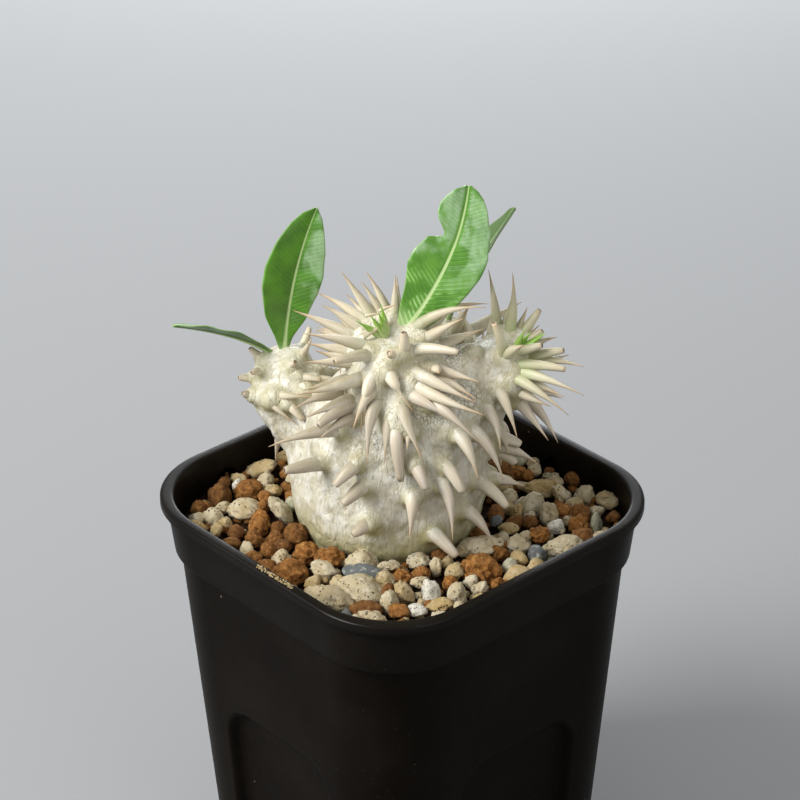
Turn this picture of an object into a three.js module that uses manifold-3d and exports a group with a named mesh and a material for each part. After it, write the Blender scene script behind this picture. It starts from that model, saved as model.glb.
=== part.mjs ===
// A potted Pachypodium eburneum: a square nursery pot, gritty soil with gravel, a white caudex
// covered in horn-like spines, four leaves and the green bud tufts that they grow from.
// Millimetres, +Z up, with the origin at the centre of the pot's underside.

import * as THREE from 'three';
import { mergeVertices, mergeGeometries } from 'three/addons/utils/BufferGeometryUtils.js';
import Module from 'manifold-3d';

const wasm = await Module();
wasm.setup();

// Driving dimensions of the pot
const POT_HEIGHT = 100;
const LIP_HALF = 45;
const BASE_HALF = 35.6;
const CORNER_SHARE = 0.467;
const CORNER_STEPS = 4;
const WALL = 1.1;
const FLOOR = 1.6;
const BASE_CHAMFER = 1.2;
const COLLAR_HEIGHT = 13.5;
const COLLAR_TOP_HALF = 43.8;
const COLLAR_FOOT_HALF = 42.65;
const BODY_TOP_HALF = 41.45;
const STEP_RISE = 1.2;
const LIP_HEIGHT = 2.2;
const LIP_ROUND = 0.7;
const LIP_CUT = 0.3;
const LIP_STEP_IN = 0.4;
const RECESS_HALF_WIDTH = 17;
const RECESS_TOP = 51;
const RECESS_DEPTH = 2.4;
const RECESS_CORNER = 8;
const SLIT_WIDTH = 3.2;
const SLIT_INNER = 15;
const SLIT_TOP = 11;

// Driving dimensions of the filling and the plant
const GRAVEL_LEVEL = POT_HEIGHT - 7;
const CORE_LEVEL = GRAVEL_LEVEL - 2.2;
const GAP = 0.35;
const PLANT_TURN = THREE.MathUtils.degToRad(48.35);
const SEED = 20240611;

const BODY_TAPER = (BODY_TOP_HALF - BASE_HALF) / (POT_HEIGHT - COLLAR_HEIGHT - STEP_RISE);

// One seeded draw between 0 and 1, the same on every run
let drawState = SEED;
function startDraws(seed) {
  drawState = seed;
}
function draw() {
  drawState = (1664525 * drawState + 1013904223) % 4294967296;
  return drawState / 4294967296;
}
function drawBetween(low, high) {
  return low + (high - low) * draw();
}

// Solids: a closed geometry made into one body, and back again
function solid(geometry) {
  const plain = geometry.clone();
  plain.deleteAttribute('normal');
  plain.deleteAttribute('uv');
  const merged = mergeVertices(plain, 1e-4);
  const mesh = new wasm.Mesh({
    numProp: 3,
    vertProperties: new Float32Array(merged.attributes.position.array),
    triVerts: new Uint32Array(merged.index.array),
  });
  return new wasm.Manifold(mesh);
}
function joined(solids) {
  let level = solids;
  while (level.length > 1) {
    const next = [];
    for (let i = 0; i < level.length; i += 2) {
      next.push(i + 1 < level.length ? level[i].add(level[i + 1]) : level[i]);
    }
    level = next;
  }
  return level[0];
}
function largestPiece(body) {
  const pieces = body.decompose();
  pieces.sort((a, b) => b.volume() - a.volume());
  return pieces[0];
}
function toGeometry(body) {
  const mesh = body.getMesh();
  const geometry = new THREE.BufferGeometry();
  geometry.setAttribute('position', new THREE.BufferAttribute(mesh.vertProperties, 3));
  geometry.setIndex(new THREE.BufferAttribute(mesh.triVerts, 1));
  return geometry;
}

// The pot's plan: a square with round corners, one half side long, as points round the ring
const RING = [];
for (let quarter = 0; quarter < 4; quarter += 1) {
  const signX = quarter === 0 || quarter === 3 ? 1 : -1;
  const signY = quarter < 2 ? 1 : -1;
  for (let step = 0; step <= CORNER_STEPS; step += 1) {
    const angle = (quarter + step / CORNER_STEPS) * Math.PI / 2;
    RING.push([
      signX * (1 - CORNER_SHARE) + CORNER_SHARE * Math.cos(angle),
      signY * (1 - CORNER_SHARE) + CORNER_SHARE * Math.sin(angle),
    ]);
  }
}

// A profile of half side against height, turned into a square solid with round corners
function squareTurned(profile) {
  const points = profile.map(([half, height]) => new THREE.Vector2(half, height));
  const lathe = new THREE.LatheGeometry(points, RING.length);
  const position = lathe.attributes.position;
  for (let i = 0; i < position.count; i += 1) {
    const column = Math.floor(i / points.length) % RING.length;
    const point = points[i % points.length];
    position.setXYZ(i, point.x * RING[column][0], point.x * RING[column][1], point.y);
  }
  return solid(lathe);
}

function bodyHalf(height) {
  return BASE_HALF + BODY_TAPER * height;
}

function outerProfile() {
  const stepFoot = POT_HEIGHT - COLLAR_HEIGHT - STEP_RISE;
  const lipFoot = POT_HEIGHT - LIP_HEIGHT;
  return [
    [0, 0],
    [bodyHalf(0) - BASE_CHAMFER, 0],
    [bodyHalf(BASE_CHAMFER), BASE_CHAMFER],
    [bodyHalf(RECESS_TOP), RECESS_TOP],
    [BODY_TOP_HALF, stepFoot],
    [COLLAR_FOOT_HALF, stepFoot + STEP_RISE],
    [COLLAR_TOP_HALF, lipFoot - LIP_ROUND],
    [LIP_HALF, lipFoot],
    [LIP_HALF, POT_HEIGHT - LIP_ROUND],
    [LIP_HALF - LIP_CUT * LIP_ROUND, POT_HEIGHT - LIP_CUT * LIP_ROUND],
    [LIP_HALF - LIP_ROUND, POT_HEIGHT],
    [0, POT_HEIGHT],
  ];
}

// The inside of the wall, moved in by a clearance and ended at a level
function innerHalf(height) {
  const stepFoot = POT_HEIGHT - COLLAR_HEIGHT - STEP_RISE;
  if (height <= stepFoot) {
    return bodyHalf(height) - WALL;
  }
  const rise = (height - stepFoot - STEP_RISE) / (COLLAR_HEIGHT - LIP_HEIGHT);
  return COLLAR_FOOT_HALF - WALL + (COLLAR_TOP_HALF - COLLAR_FOOT_HALF) * rise;
}
function innerProfile(clearance, top, rounded) {
  const stepFoot = POT_HEIGHT - COLLAR_HEIGHT - STEP_RISE;
  const points = [
    [0, FLOOR + clearance],
    [innerHalf(FLOOR) - clearance, FLOOR + clearance],
    [innerHalf(stepFoot) - clearance, stepFoot - clearance / 2],
    [innerHalf(stepFoot + STEP_RISE) - clearance, stepFoot + STEP_RISE - clearance / 2],
  ];
  if (rounded) {
    const mouth = innerHalf(top) - LIP_STEP_IN;
    points.push([mouth, POT_HEIGHT - LIP_ROUND]);
    points.push([mouth + LIP_CUT * LIP_ROUND, POT_HEIGHT - LIP_CUT * LIP_ROUND]);
    points.push([mouth + LIP_ROUND, POT_HEIGHT]);
    points.push([mouth + LIP_ROUND, POT_HEIGHT + 1]);
    points.push([0, POT_HEIGHT + 1]);
    return points;
  }
  points.push([innerHalf(top) - clearance, top]);
  points.push([0, top]);
  return points;
}

// A recessed panel in the foot of each side, as the block it takes out, grown by a margin
function recessBlock(margin, side) {
  const width = RECESS_HALF_WIDTH + margin;
  const top = RECESS_TOP + margin;
  const corner = RECESS_CORNER + margin;
  const outline = new THREE.Shape();
  outline.moveTo(-width, -5);
  outline.lineTo(width, -5);
  outline.lineTo(width, top - corner);
  outline.absarc(width - corner, top - corner, corner, 0, Math.PI / 2, false);
  outline.absarc(corner - width, top - corner, corner, Math.PI / 2, Math.PI, false);
  outline.lineTo(-width, -5);
  const reach = 12;
  const block = new THREE.ExtrudeGeometry(outline, { depth: reach, bevelEnabled: false, curveSegments: 3 });
  block.rotateX(Math.PI / 2);
  block.translate(0, -(BASE_HALF - RECESS_DEPTH - margin), 0);
  block.applyMatrix4(new THREE.Matrix4().makeShear(0, 0, 0, 0, 0, -BODY_TAPER));
  block.rotateZ(side * Math.PI / 2);
  return solid(block);
}
const SIDES = [0, 1, 2, 3];

function hollow(clearance, top, rounded) {
  let inside = squareTurned(innerProfile(clearance, top, rounded));
  for (const side of SIDES) {
    inside = inside.subtract(recessBlock(WALL + clearance, side));
  }
  return inside;
}

// A drain slit from the floor up the foot of each side
function drainSlit(side) {
  const reach = BASE_HALF + 5;
  const slit = new THREE.BoxGeometry(SLIT_WIDTH, reach - SLIT_INNER, SLIT_TOP + 2);
  slit.translate(0, -(reach + SLIT_INNER) / 2, SLIT_TOP / 2 - 1);
  slit.rotateZ(side * Math.PI / 2);
  return solid(slit);
}

function potGeometry() {
  let pot = squareTurned(outerProfile()).subtract(hollow(0, POT_HEIGHT - LIP_HEIGHT, true));
  for (const side of SIDES) {
    pot = pot.subtract(recessBlock(0, side)).subtract(drainSlit(side));
  }
  return toGeometry(largestPiece(pot));
}

// The caudex in its own frame: X to the right, Y away from the front, Z up from the gravel.
// Each lobe is a tapered capsule: first end, second end and the radius at each.
const HEART = new THREE.Vector3(-2, 4, 16);
const LOBES = [
  { a: [-2.8, 5, 6], b: [-1.1, 4, 17], ra: 21.9, rb: 20.5 },
  { a: [-1, 1, 28], b: [-0.5, -1.5, 42], ra: 14, rb: 8 },
  { a: [6, 3, 24], b: [21.5, 2.5, 36.8], ra: 12.5, rb: 7 },
  { a: [-13, 10, 12], b: [-24.5, 16, 22], ra: 11, rb: 7.5 },
  { a: [-24.5, 16, 22], b: [-26, 18, 28.3], ra: 7.5, rb: 6.2 },
  { a: [4, 10, 24], b: [10, 16, 37], ra: 11, rb: 6 },
  { a: [7.5, -4, 28], b: [8, -4, 31], ra: 9.6, rb: 9.4 },
  { a: [11.5, 0, 33], b: [12, -1, 37.5], ra: 7.5, rb: 6.2 },
  { a: [-3, 5, -4], b: [-3, 5, -18], ra: 15, rb: 8 },
];
const LOBE_BLEND = 4;
const CAUDEX_DETAIL = 7;

function lobeDistance(lobe, x, y, z) {
  const dx = lobe.b[0] - lobe.a[0];
  const dy = lobe.b[1] - lobe.a[1];
  const dz = lobe.b[2] - lobe.a[2];
  const px = x - lobe.a[0];
  const py = y - lobe.a[1];
  const pz = z - lobe.a[2];
  const along = (px * dx + py * dy + pz * dz) / (dx * dx + dy * dy + dz * dz);
  const share = Math.min(Math.max(along, 0), 1);
  const away = Math.hypot(px - share * dx, py - share * dy, pz - share * dz);
  return away - lobe.ra - (lobe.rb - lobe.ra) * share;
}

// Distance out of the caudex, below zero inside, with the lobes run together
function caudexField(x, y, z) {
  let distance = 1000;
  for (const lobe of LOBES) {
    const next = lobeDistance(lobe, x, y, z);
    const near = Math.max(LOBE_BLEND - Math.abs(distance - next), 0) / LOBE_BLEND;
    distance = Math.min(distance, next) - near * near * LOBE_BLEND / 4;
  }
  return distance;
}

// The first point out from a start along a direction where the field reaches a level
function surfacePoint(start, direction, level) {
  const point = start.clone();
  let travelled = 0;
  while (travelled < 80) {
    const value = caudexField(point.x, point.y, point.z) - level;
    if (value > -0.01) {
      break;
    }
    const stride = Math.max(-value * 0.7, 0.02);
    point.addScaledVector(direction, stride);
    travelled += stride;
  }
  return point;
}
function surfaceNormal(point) {
  const d = 0.1;
  const { x, y, z } = point;
  return new THREE.Vector3(
    caudexField(x + d, y, z) - caudexField(x - d, y, z),
    caudexField(x, y + d, z) - caudexField(x, y - d, z),
    caudexField(x, y, z + d) - caudexField(x, y, z - d),
  ).normalize();
}

function caudexBody(level, detail) {
  const ball = new THREE.IcosahedronGeometry(1, detail);
  const position = ball.attributes.position;
  const direction = new THREE.Vector3();
  for (let i = 0; i < position.count; i += 1) {
    direction.fromBufferAttribute(position, i).normalize();
    const point = surfacePoint(HEART, direction, level);
    position.setXYZ(i, point.x, point.y, point.z);
  }
  return solid(ball);
}

// One spine: a curved horn on the skin, sunk at its root, sharp or broken off blunt
const SPINE_SIDES = 4;
const HEAD_STEPS = 2;
const BODY_STEPS = 3;
const SPINE_SINK = 2.2;
const SPINE_BASE = 1.6;
const STUB_TIP = 0.75;
const SPINE_CURVE = 1.6;
// How much of its fall a drooping spine first rises
const DROOP_ARCH = 0.3;

function spineGeometry(spine, grow) {
  const tip = spine.stub ? STUB_TIP + grow : grow;
  const start = spine.root.clone().addScaledVector(spine.lean, -SPINE_SINK);
  const middle = spine.root.clone().addScaledVector(spine.lean, spine.length * 0.5);
  middle.z += Math.max(-spine.reach.z, 0) * DROOP_ARCH;
  const end = spine.root.clone().add(spine.reach);
  const curve = new THREE.QuadraticBezierCurve3(start, middle, end);
  const horn = new THREE.CylinderGeometry(tip, spine.base + grow, 1, SPINE_SIDES, spine.steps);
  const position = horn.attributes.position;
  const across = new THREE.Vector3();
  const beside = new THREE.Vector3();
  const side = new THREE.Vector3(0.31, 0.17, 0.93).cross(spine.lean).normalize();
  const foot = spine.base + grow;
  for (let i = 0; i < position.count; i += 1) {
    const share = position.getY(i) + 0.5;
    const straight = foot + (tip - foot) * share;
    const horned = foot + (tip - foot) * Math.pow(share, SPINE_CURVE);
    const scale = straight < 1e-6 ? 0 : horned / straight;
    const centre = curve.getPoint(share);
    const tangent = curve.getTangent(share);
    across.crossVectors(side, tangent).normalize();
    beside.crossVectors(tangent, across).normalize();
    centre.addScaledVector(across, position.getX(i) * scale);
    centre.addScaledVector(beside, -position.getZ(i) * scale);
    position.setXYZ(i, centre.x, centre.y, centre.z);
  }
  return horn;
}

// Heads: where each growing tip is, how stout its spines are, and those one by one. A row gives the root by its
// heading in degrees (0 at the front, positive to the right) and its tilt from upright, seen
// from the heart, then how far the tip goes to the right, to the front and up, and 1 where
// the spine is broken off blunt.
const HEADS = [
  {
    heart: [-0.5, -1, 39], girth: 1,
    spines: [
      [-124, 27, -8.5, -4.5, 12, 0], [-121, 34, -13, -3.5, 8, 0], [-106, 37, -11, -1.5, 7, 0],
      [-105, 43, -8.5, -2.5, 6.5, 0], [-99, 46, -16, -1, 7.5, 0], [-95, 51, -11, -0.5, 4, 0],
      [-58, 41, -15, 4, 6, 0], [-80, 72, -10, 2, 4.5, 0], [-42, 45, -9, 6, 1.5, 1],
      [-43, 72, -16, 8, -0.5, 0], [-71, 107, -12.5, 6, -0.5, 0], [-51, 107, -12.5, 8, -0.5, 0],
      [-50, 110, -9.5, 8, -1.5, 1], [-46, 119, -9, 8, -1.5, 0], [-55, 125, -17, 6, -1, 0],
      [-30, 65, -4, 6, -12, 0], [-17, 61, 6, 6, -7.5, 0], [-27, 105, -2.5, 9, -11, 0],
      [-9, 119, -1.5, 6, -8, 0], [2, 108, 5, 8, -10, 0], [13, 122, -1, 5, -3, 0],
      [21, 64, 14, 8, -3.5, 0], [18, 79, 16.5, 9, -3.5, 0], [9, 92, 11.5, 7, -3.5, 0],
      [45, 64, 12, 6, -0.5, 0], [24, 37, 10.5, 6, 2.5, 1], [11, 41, 0, 2, 6.5, 1],
      [-4, 43, -1.5, 3, 2.5, 1], [63, 16, 16.5, 5, 8.5, 0], [58, 33, 9.5, 4, 8, 0],
      [75, 48, 12, 1, 5.5, 0], [-143, 23, -5.5, -4, 9, 0], [-160, 22, -5.5, -5, 10.5, 0],
      [-164, 8, 0, -2, 11.5, 0], [150, 30, 4, -6, 11, 0], [120, 42, 9, -6, 8, 0],
      [-150, 50, -8, -8, 6, 0], [180, 45, 0, -10, 8, 0], [150, 60, 6, -10, 4, 0],
      [-170, 70, -2, -11, 2, 0], [100, 30, 9, -1, 9, 0], [-125, 72, -11, -7, 2, 0],
      [-66, 62, -13, 4, 2.2, 0], [-84, 58, -12.5, 1.5, 3.6, 0], [-62, 88, -13, 6, 0.6, 0],
      [-28, 84, -6, 7, -7.5, 0], [33, 100, 11, 8, -6, 0], [48, 82, 10, 7, -1.5, 0],
    ],
  },
  {
    heart: [19.4, 2.6, 34], girth: 0.9,
    spines: [
      [146, 25, -2, -7, 14, 0], [115, 29, 1, -4.5, 15, 0], [137, 29, 2, -4, 8, 0],
      [117, 36, 3.5, -3, 7.5, 0], [111, 39, 5.5, -2.5, 7.5, 1], [97, 43, 5, -0.5, 4.5, 1],
      [104, 48, 8, -0.5, 3, 0], [57, 37, 6.5, 3, 4.5, 1], [68, 47, 9.5, 3, 4, 1],
      [72, 50, 13.5, 4, 0.5, 0], [43, 44, 12, 5, 1.5, 1], [43, 52, 15.5, 8, -2, 0],
      [50, 65, 10, 6, -1.5, 0], [34, 57, 13, 8, -5.5, 0], [39, 76, 8.5, 5, -2, 0],
      [13, 71, 4.5, 8, -8.5, 0], [44, 95, 8, 6, -8, 0], [69, 101, 8.5, 5, -10, 0],
      [-7, 98, 3.5, 7, -7, 0], [-50, 30, 0.5, 4, -7, 0], [35, 38, -2.5, 3, 11.5, 1],
      [170, 50, 1, -8, 7, 0], [-150, 45, -4, -6, 8, 0], [140, 65, 7, -8, 3, 0],
      [-175, 75, 0, -9, 2, 0], [110, 75, 10, -3, 1, 0], [95, 100, 9, -1, -4, 0],
    ],
  },
  {
    heart: [-25.5, 17.5, 25], girth: 0.75,
    spines: [
      [60, 21, 3, 2, 6.5, 0], [21, 47, 5.5, 3, 1, 1], [-20, 76, 9.5, 4, 1.5, 0],
      [-30, 85, 6.5, 5, -4, 0], [0, 86, 3.5, 4, -2, 1], [-86, 69, -4.5, 1, 0.5, 1],
      [-60, 93, -3.5, 2, 2, 1], [-95, 40, -3, 0, 3, 1],
      [150, 40, 2, -4, 4, 1], [180, 60, 0, -5, 1, 0], [100, 75, 5, -1, 0, 1],
      [-150, 65, -3, -4, 0, 0], [5, 30, 1.5, 3, 3, 1], [-60, 45, -3, 3, 1, 1],
      [48, 62, 8, 3, 1.5, 0], [75, 50, 6.5, 1, 3.5, 0], [28, 72, 7, 4, -1.5, 0],
    ],
  },
];

// The front of the body, spine by spine: azimuth in degrees and height over the gravel of the
// root, then how far the tip goes to the right, to the front and up, and 1 for a broken one
const FRONT_SPINES = [
  [-49, 20.5, -9, 5, 0.8, 1], [-20, 23.5, -6, 5, -3, 1], [-17, 18.4, -5, 5, -2, 1],
  [-13, 9.5, -4.3, 4, -1, 1], [3, 31.7, 1, 6, -10.5, 1], [13, 24, 3, 5, -4, 1],
  [12, 16.2, -0.7, 5.5, -8.5, 0], [30, 18.7, 2.7, 6.5, -12, 0], [32, 23, 4.3, 5, -4.7, 1],
  [40, 30, 5, 6, -9, 0], [49, 29.3, 7.7, 5, -10, 0], [58, 14.4, 7.5, 4, -4.7, 1],
  [49, 8.1, 7, 4, -7, 0], [24, 5.7, 5.7, 5, -3.4, 1], [85, 17.2, 6.3, 2, -3, 1],
  [80, 24.1, 3.4, 2, -6.5, 0], [82, 21.3, 7, 1, -2, 1], [83, 18.6, 11.3, 2, -4, 0],
  [88, 8.6, 9, 1, -1.7, 0],
];

// A head at the back, ringed by its spines in a spiral
const REAR_HEAD = {
  heart: [9, 15, 33.5], axis: [0.3, 0.45, 0.84],
  count: 18, inner: 28, outer: 105, length: 12, stubs: 0.2,
};
const GOLDEN_ANGLE = Math.PI * (3 - Math.sqrt(5));

// Tiers of drooping spines round the sides and back of the body
const TIERS = [
  { height: 30, count: 7, from: 92, to: 222, length: 12, droop: 0.9 },
  { height: 21, count: 7, from: 92, to: 232, length: 12, droop: 0.8 },
  { height: 12, count: 7, from: 96, to: 250, length: 11, droop: 1 },
  { height: 5, count: 5, from: 80, to: 260, length: 8, droop: 0.6 },
];
const BODY_AXIS = [-2, 4];

// A direction by its heading from the front and its tilt from upright, in degrees
function aim(heading, tilt) {
  const turn = THREE.MathUtils.degToRad(heading);
  const lean = THREE.MathUtils.degToRad(tilt);
  const level = Math.sin(lean);
  return new THREE.Vector3(Math.sin(turn) * level, -Math.cos(turn) * level, Math.cos(lean));
}

// Spines near the top of a head are slimmer than those low on it, by this share
const CROWN_SLIM = 0.3;
// A spine leaves the skin this far turned from its reach to the skin's normal
const ROOT_SQUARE = 0.65;
const CROWN_TILT = 60;

function spineAt(root, tilt, girth, [right, front, up, broken]) {
  const reach = new THREE.Vector3(right, -front, up);
  const length = reach.length();
  const lean = reach.clone().normalize().lerp(surfaceNormal(root), ROOT_SQUARE).normalize();
  const base = SPINE_BASE * girth * (1 - CROWN_SLIM * (1 - Math.min(tilt / 90, 1)));
  const steps = tilt < CROWN_TILT ? HEAD_STEPS : BODY_STEPS;
  return { root, lean, reach, length, base, stub: broken === 1, steps };
}

function headSpines(head) {
  const heart = new THREE.Vector3(...head.heart);
  return head.spines.map(([heading, tilt, ...rest]) => {
    const root = surfacePoint(heart, aim(heading, tilt), 0);
    return spineAt(root, tilt, head.girth, rest);
  });
}

function bodyRoot(azimuth, height) {
  return surfacePoint(new THREE.Vector3(...BODY_AXIS, height), aim(azimuth, 90), 0);
}

function frontSpine([azimuth, height, ...rest]) {
  return spineAt(bodyRoot(azimuth, height), 90, 1, rest);
}

function ringSpines(head) {
  const spines = [];
  const heart = new THREE.Vector3(...head.heart);
  const axis = new THREE.Vector3(...head.axis).normalize();
  const first = new THREE.Vector3(0, 1, 0).cross(axis).normalize();
  const second = new THREE.Vector3().crossVectors(axis, first);
  for (let i = 0; i < head.count; i += 1) {
    const spread = Math.pow((i + 0.5) / head.count, 0.75);
    const tilt = THREE.MathUtils.degToRad(head.inner + (head.outer - head.inner) * spread);
    const around = i * GOLDEN_ANGLE + drawBetween(-0.15, 0.15);
    const outward = first.clone().multiplyScalar(Math.cos(around));
    outward.addScaledVector(second, Math.sin(around));
    const direction = outward.multiplyScalar(Math.sin(tilt)).addScaledVector(axis, Math.cos(tilt));
    const root = surfacePoint(heart, direction, 0);
    const lean = surfaceNormal(root).lerp(direction, 0.55).normalize();
    const length = head.length * drawBetween(0.82, 1.12) * (1.1 - 0.2 * spread);
    const stub = draw() < head.stubs;
    const reach = lean.clone().multiplyScalar(length * (stub ? 0.6 : 1));
    reach.z += length * drawBetween(-0.25, 0.12) * spread;
    const base = SPINE_BASE * drawBetween(0.8, 1.02);
    spines.push({ root, lean, reach, length, base, stub, steps: HEAD_STEPS });
  }
  return spines;
}

function tierSpines(tier) {
  const spines = [];
  for (let i = 0; i < tier.count; i += 1) {
    const share = (i + drawBetween(0.3, 0.7)) / tier.count;
    const azimuth = tier.from + (tier.to - tier.from) * share;
    const root = bodyRoot(azimuth, tier.height + drawBetween(-1.5, 1.5));
    const lean = surfaceNormal(root);
    const length = tier.length * drawBetween(0.75, 1.15);
    const stub = draw() < 0.3;
    const reach = lean.clone().multiplyScalar(length * 0.6);
    reach.z -= length * 0.6 * tier.droop * drawBetween(0.8, 1.2);
    if (stub) {
      reach.multiplyScalar(0.65);
    }
    const base = SPINE_BASE * drawBetween(0.85, 1.1);
    spines.push({ root, lean, reach, length, base, stub, steps: BODY_STEPS });
  }
  return spines;
}

startDraws(SEED);
const SPINES = [];
for (const head of HEADS) {
  SPINES.push(...headSpines(head));
}
SPINES.push(...FRONT_SPINES.map(frontSpine));
SPINES.push(...ringSpines(REAR_HEAD));
for (const tier of TIERS) {
  SPINES.push(...tierSpines(tier));
}

// Leaves: a midrib curve of four points, the way the blade faces, and half widths to the left
// and right of the midrib against the share of its length
const BLADE = 0.7;
const PETIOLE = 1.5;
const BLADE_COLUMNS = 4;
const PLAIN_ROWS = [0, 0.06, 0.14, 0.24, 0.35, 0.47, 0.59, 0.7, 0.8, 0.89, 0.96, 1];
const NOTCHED_ROWS = [
  0, 0.04, 0.13, 0.23, 0.31, 0.37, 0.47, 0.535, 0.59, 0.605, 0.62, 0.66,
  0.735, 0.79, 0.86, 0.925, 0.975, 1,
];
const OVAL = [
  [0, 0.13, 0.13], [0.07, 0.15, 0.15], [0.16, 0.32, 0.28], [0.3, 0.72, 0.66], [0.48, 0.98, 0.94],
  [0.6, 1, 1], [0.75, 0.86, 0.86], [0.87, 0.6, 0.6], [0.95, 0.35, 0.35], [1, 0.05, 0.05],
];
const NOTCHED = [
  [0, 1.2, 0.9], [0.04, 2.3, 1.6], [0.13, 4.3, 3.7], [0.23, 5.75, 5.5], [0.31, 7, 6.6],
  [0.37, 7.9, 7.2], [0.47, 7.8, 8], [0.535, 6.9, 8.1], [0.59, 6.3, 8], [0.605, 4.8, 7.7],
  [0.62, 3.1, 7.5], [0.66, 3, 7.2], [0.735, 5.1, 6.8], [0.79, 5.7, 5.7], [0.86, 5.6, 4.9],
  [0.925, 4.3, 3.6], [0.975, 2.7, 1.9], [1, 0.4, 0.4],
];
const LEAVES = [
  {
    name: 'leaf_notched', facing: [0, -0.87, 0.5], cup: 0.1, wave: 0.35,
    midrib: [[0, -2.6, 48.2], [9.8, 2, 60], [13.9, 5.3, 69], [15.2, 9, 79.3]],
    rows: NOTCHED_ROWS, outline: NOTCHED, width: 1, rightShare: 1,
  },
  {
    name: 'leaf_left', facing: [0.25, -0.87, 0.4], cup: 0.25, wave: 0.2,
    midrib: [[-26.6, 18, 31.8], [-25.8, 19, 43], [-23.5, 21.5, 55.5], [-18.5, 25.5, 66.2]],
    rows: PLAIN_ROWS, outline: OVAL, width: 7.5, rightShare: 0.82,
  },
  {
    name: 'leaf_side', facing: [0, 0.42, 0.9], cup: 0.15, wave: 0.2,
    midrib: [[-28, 18.8, 32], [-34.5, 17.2, 38.6], [-44, 15, 41.5], [-50.9, 12.6, 43.6]],
    rows: PLAIN_ROWS, outline: OVAL, width: 4.8, rightShare: 1,
  },
  {
    name: 'leaf_rear', facing: [-0.85, 0, 0.45], cup: 0.2, wave: 0.2,
    midrib: [[10.4, 15.9, 41.4], [13, 15, 51], [20, 14, 62], [25.5, 15, 70.9]],
    rows: PLAIN_ROWS, outline: OVAL, width: 5.6, rightShare: 1,
  },
];

// A value read from a list of rows against the share in each row's first place
function readRow(rows, share, column) {
  let i = 1;
  while (i < rows.length - 1 && share > rows[i][0]) {
    i += 1;
  }
  const before = rows[i - 1];
  const after = rows[i];
  const part = (share - before[0]) / (after[0] - before[0]);
  return before[column] + (after[column] - before[column]) * Math.min(Math.max(part, 0), 1);
}

// A closed blade: one face, the same triangles turned over for the other, and an edge strip
function leafGeometry(leaf, grow) {
  const curve = new THREE.CubicBezierCurve3(...leaf.midrib.map((point) => new THREE.Vector3(...point)));
  const facing = new THREE.Vector3(...leaf.facing);
  const rows = leaf.rows.length;
  const columns = BLADE_COLUMNS + 1;
  const plane = new THREE.PlaneGeometry(2, 1, BLADE_COLUMNS, rows - 1);
  const faces = [];
  for (const sign of [1, -1]) {
    for (let row = 0; row < rows; row += 1) {
      const share = leaf.rows[rows - 1 - row];
      const centre = curve.getPoint(share);
      const tangent = curve.getTangent(share);
      const across = new THREE.Vector3().crossVectors(tangent, facing).normalize();
      const normal = new THREE.Vector3().crossVectors(across, tangent).normalize();
      const half = THREE.MathUtils.lerp(PETIOLE, BLADE, Math.min(share / 0.14, 1)) / 2 + grow;
      if (row === rows - 1) {
        centre.addScaledVector(tangent, -grow);
      }
      for (let column = 0; column < columns; column += 1) {
        const u = -1 + 2 * column / BLADE_COLUMNS;
        const side = u < 0 ? 1 : leaf.rightShare;
        const width = leaf.width * side * readRow(leaf.outline, share, u < 0 ? 1 : 2) + grow;
        const ripple = leaf.wave * Math.sin(22 * share + 2 * u) * u * u * Math.min(share * 4, 1);
        const lift = leaf.cup * Math.abs(u) * width * Math.min(share * 3, 1) + ripple;
        const point = centre.clone().addScaledVector(across, u * width);
        point.addScaledVector(normal, lift + sign * half);
        faces.push(point.x, point.y, point.z);
      }
    }
  }
  const front = Array.from(plane.index.array);
  const offset = rows * columns;
  const back = [];
  for (let i = 0; i < front.length; i += 3) {
    back.push(front[i] + offset, front[i + 2] + offset, front[i + 1] + offset);
  }
  const rim = [];
  for (let column = 0; column < columns - 1; column += 1) {
    rim.push(column);
  }
  for (let row = 0; row < rows - 1; row += 1) {
    rim.push(row * columns + columns - 1);
  }
  for (let column = columns - 1; column > 0; column -= 1) {
    rim.push((rows - 1) * columns + column);
  }
  for (let row = rows - 1; row > 0; row -= 1) {
    rim.push(row * columns);
  }
  const strip = [];
  rim.forEach((here, i) => {
    const next = rim[(i + 1) % rim.length];
    strip.push(here, next, here + offset);
    strip.push(next, next + offset, here + offset);
  });
  const geometry = new THREE.BufferGeometry();
  geometry.setAttribute('position', new THREE.Float32BufferAttribute(faces, 3));
  geometry.setIndex([...front, ...back, ...strip]);
  return geometry;
}

// Green bud tufts: young pointed leaves round a knob that sits in a dimple of the head
const BUDS = [
  { name: 'bud_centre', knob: [-2.7, -2.5, 47.9], axis: [-0.4, -0.3, 1], count: 5, length: 7 },
  { name: 'bud_right', knob: [24.8, 1.7, 41], axis: [0.66, -0.12, 0.74], count: 6, length: 7 },
];
const KNOB = 1.5;
const BUD_BASE = 0.95;
const KNOB_CLEARANCE = 1.3;

function budBlades(bud) {
  const axis = new THREE.Vector3(...bud.axis).normalize();
  const knob = new THREE.Vector3(...bud.knob);
  const first = new THREE.Vector3(0, 1, 0).cross(axis).normalize();
  const second = new THREE.Vector3().crossVectors(axis, first);
  const blades = [];
  for (let i = 0; i < bud.count; i += 1) {
    const around = i * GOLDEN_ANGLE;
    const tilt = 0.16 + 0.5 * i / bud.count;
    const lean = axis.clone().multiplyScalar(Math.cos(tilt));
    lean.addScaledVector(first, Math.sin(tilt) * Math.cos(around));
    lean.addScaledVector(second, Math.sin(tilt) * Math.sin(around));
    const root = knob.clone().addScaledVector(lean, KNOB * 0.9);
    const length = bud.length * drawBetween(0.75, 1.1);
    const reach = lean.clone().multiplyScalar(length).addScaledVector(axis, length * 0.12);
    blades.push({ root, lean, reach, length, base: BUD_BASE, stub: false, steps: HEAD_STEPS });
  }
  return blades;
}

startDraws(SEED + 2);
for (const bud of BUDS) {
  bud.blades = budBlades(bud);
}

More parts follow.
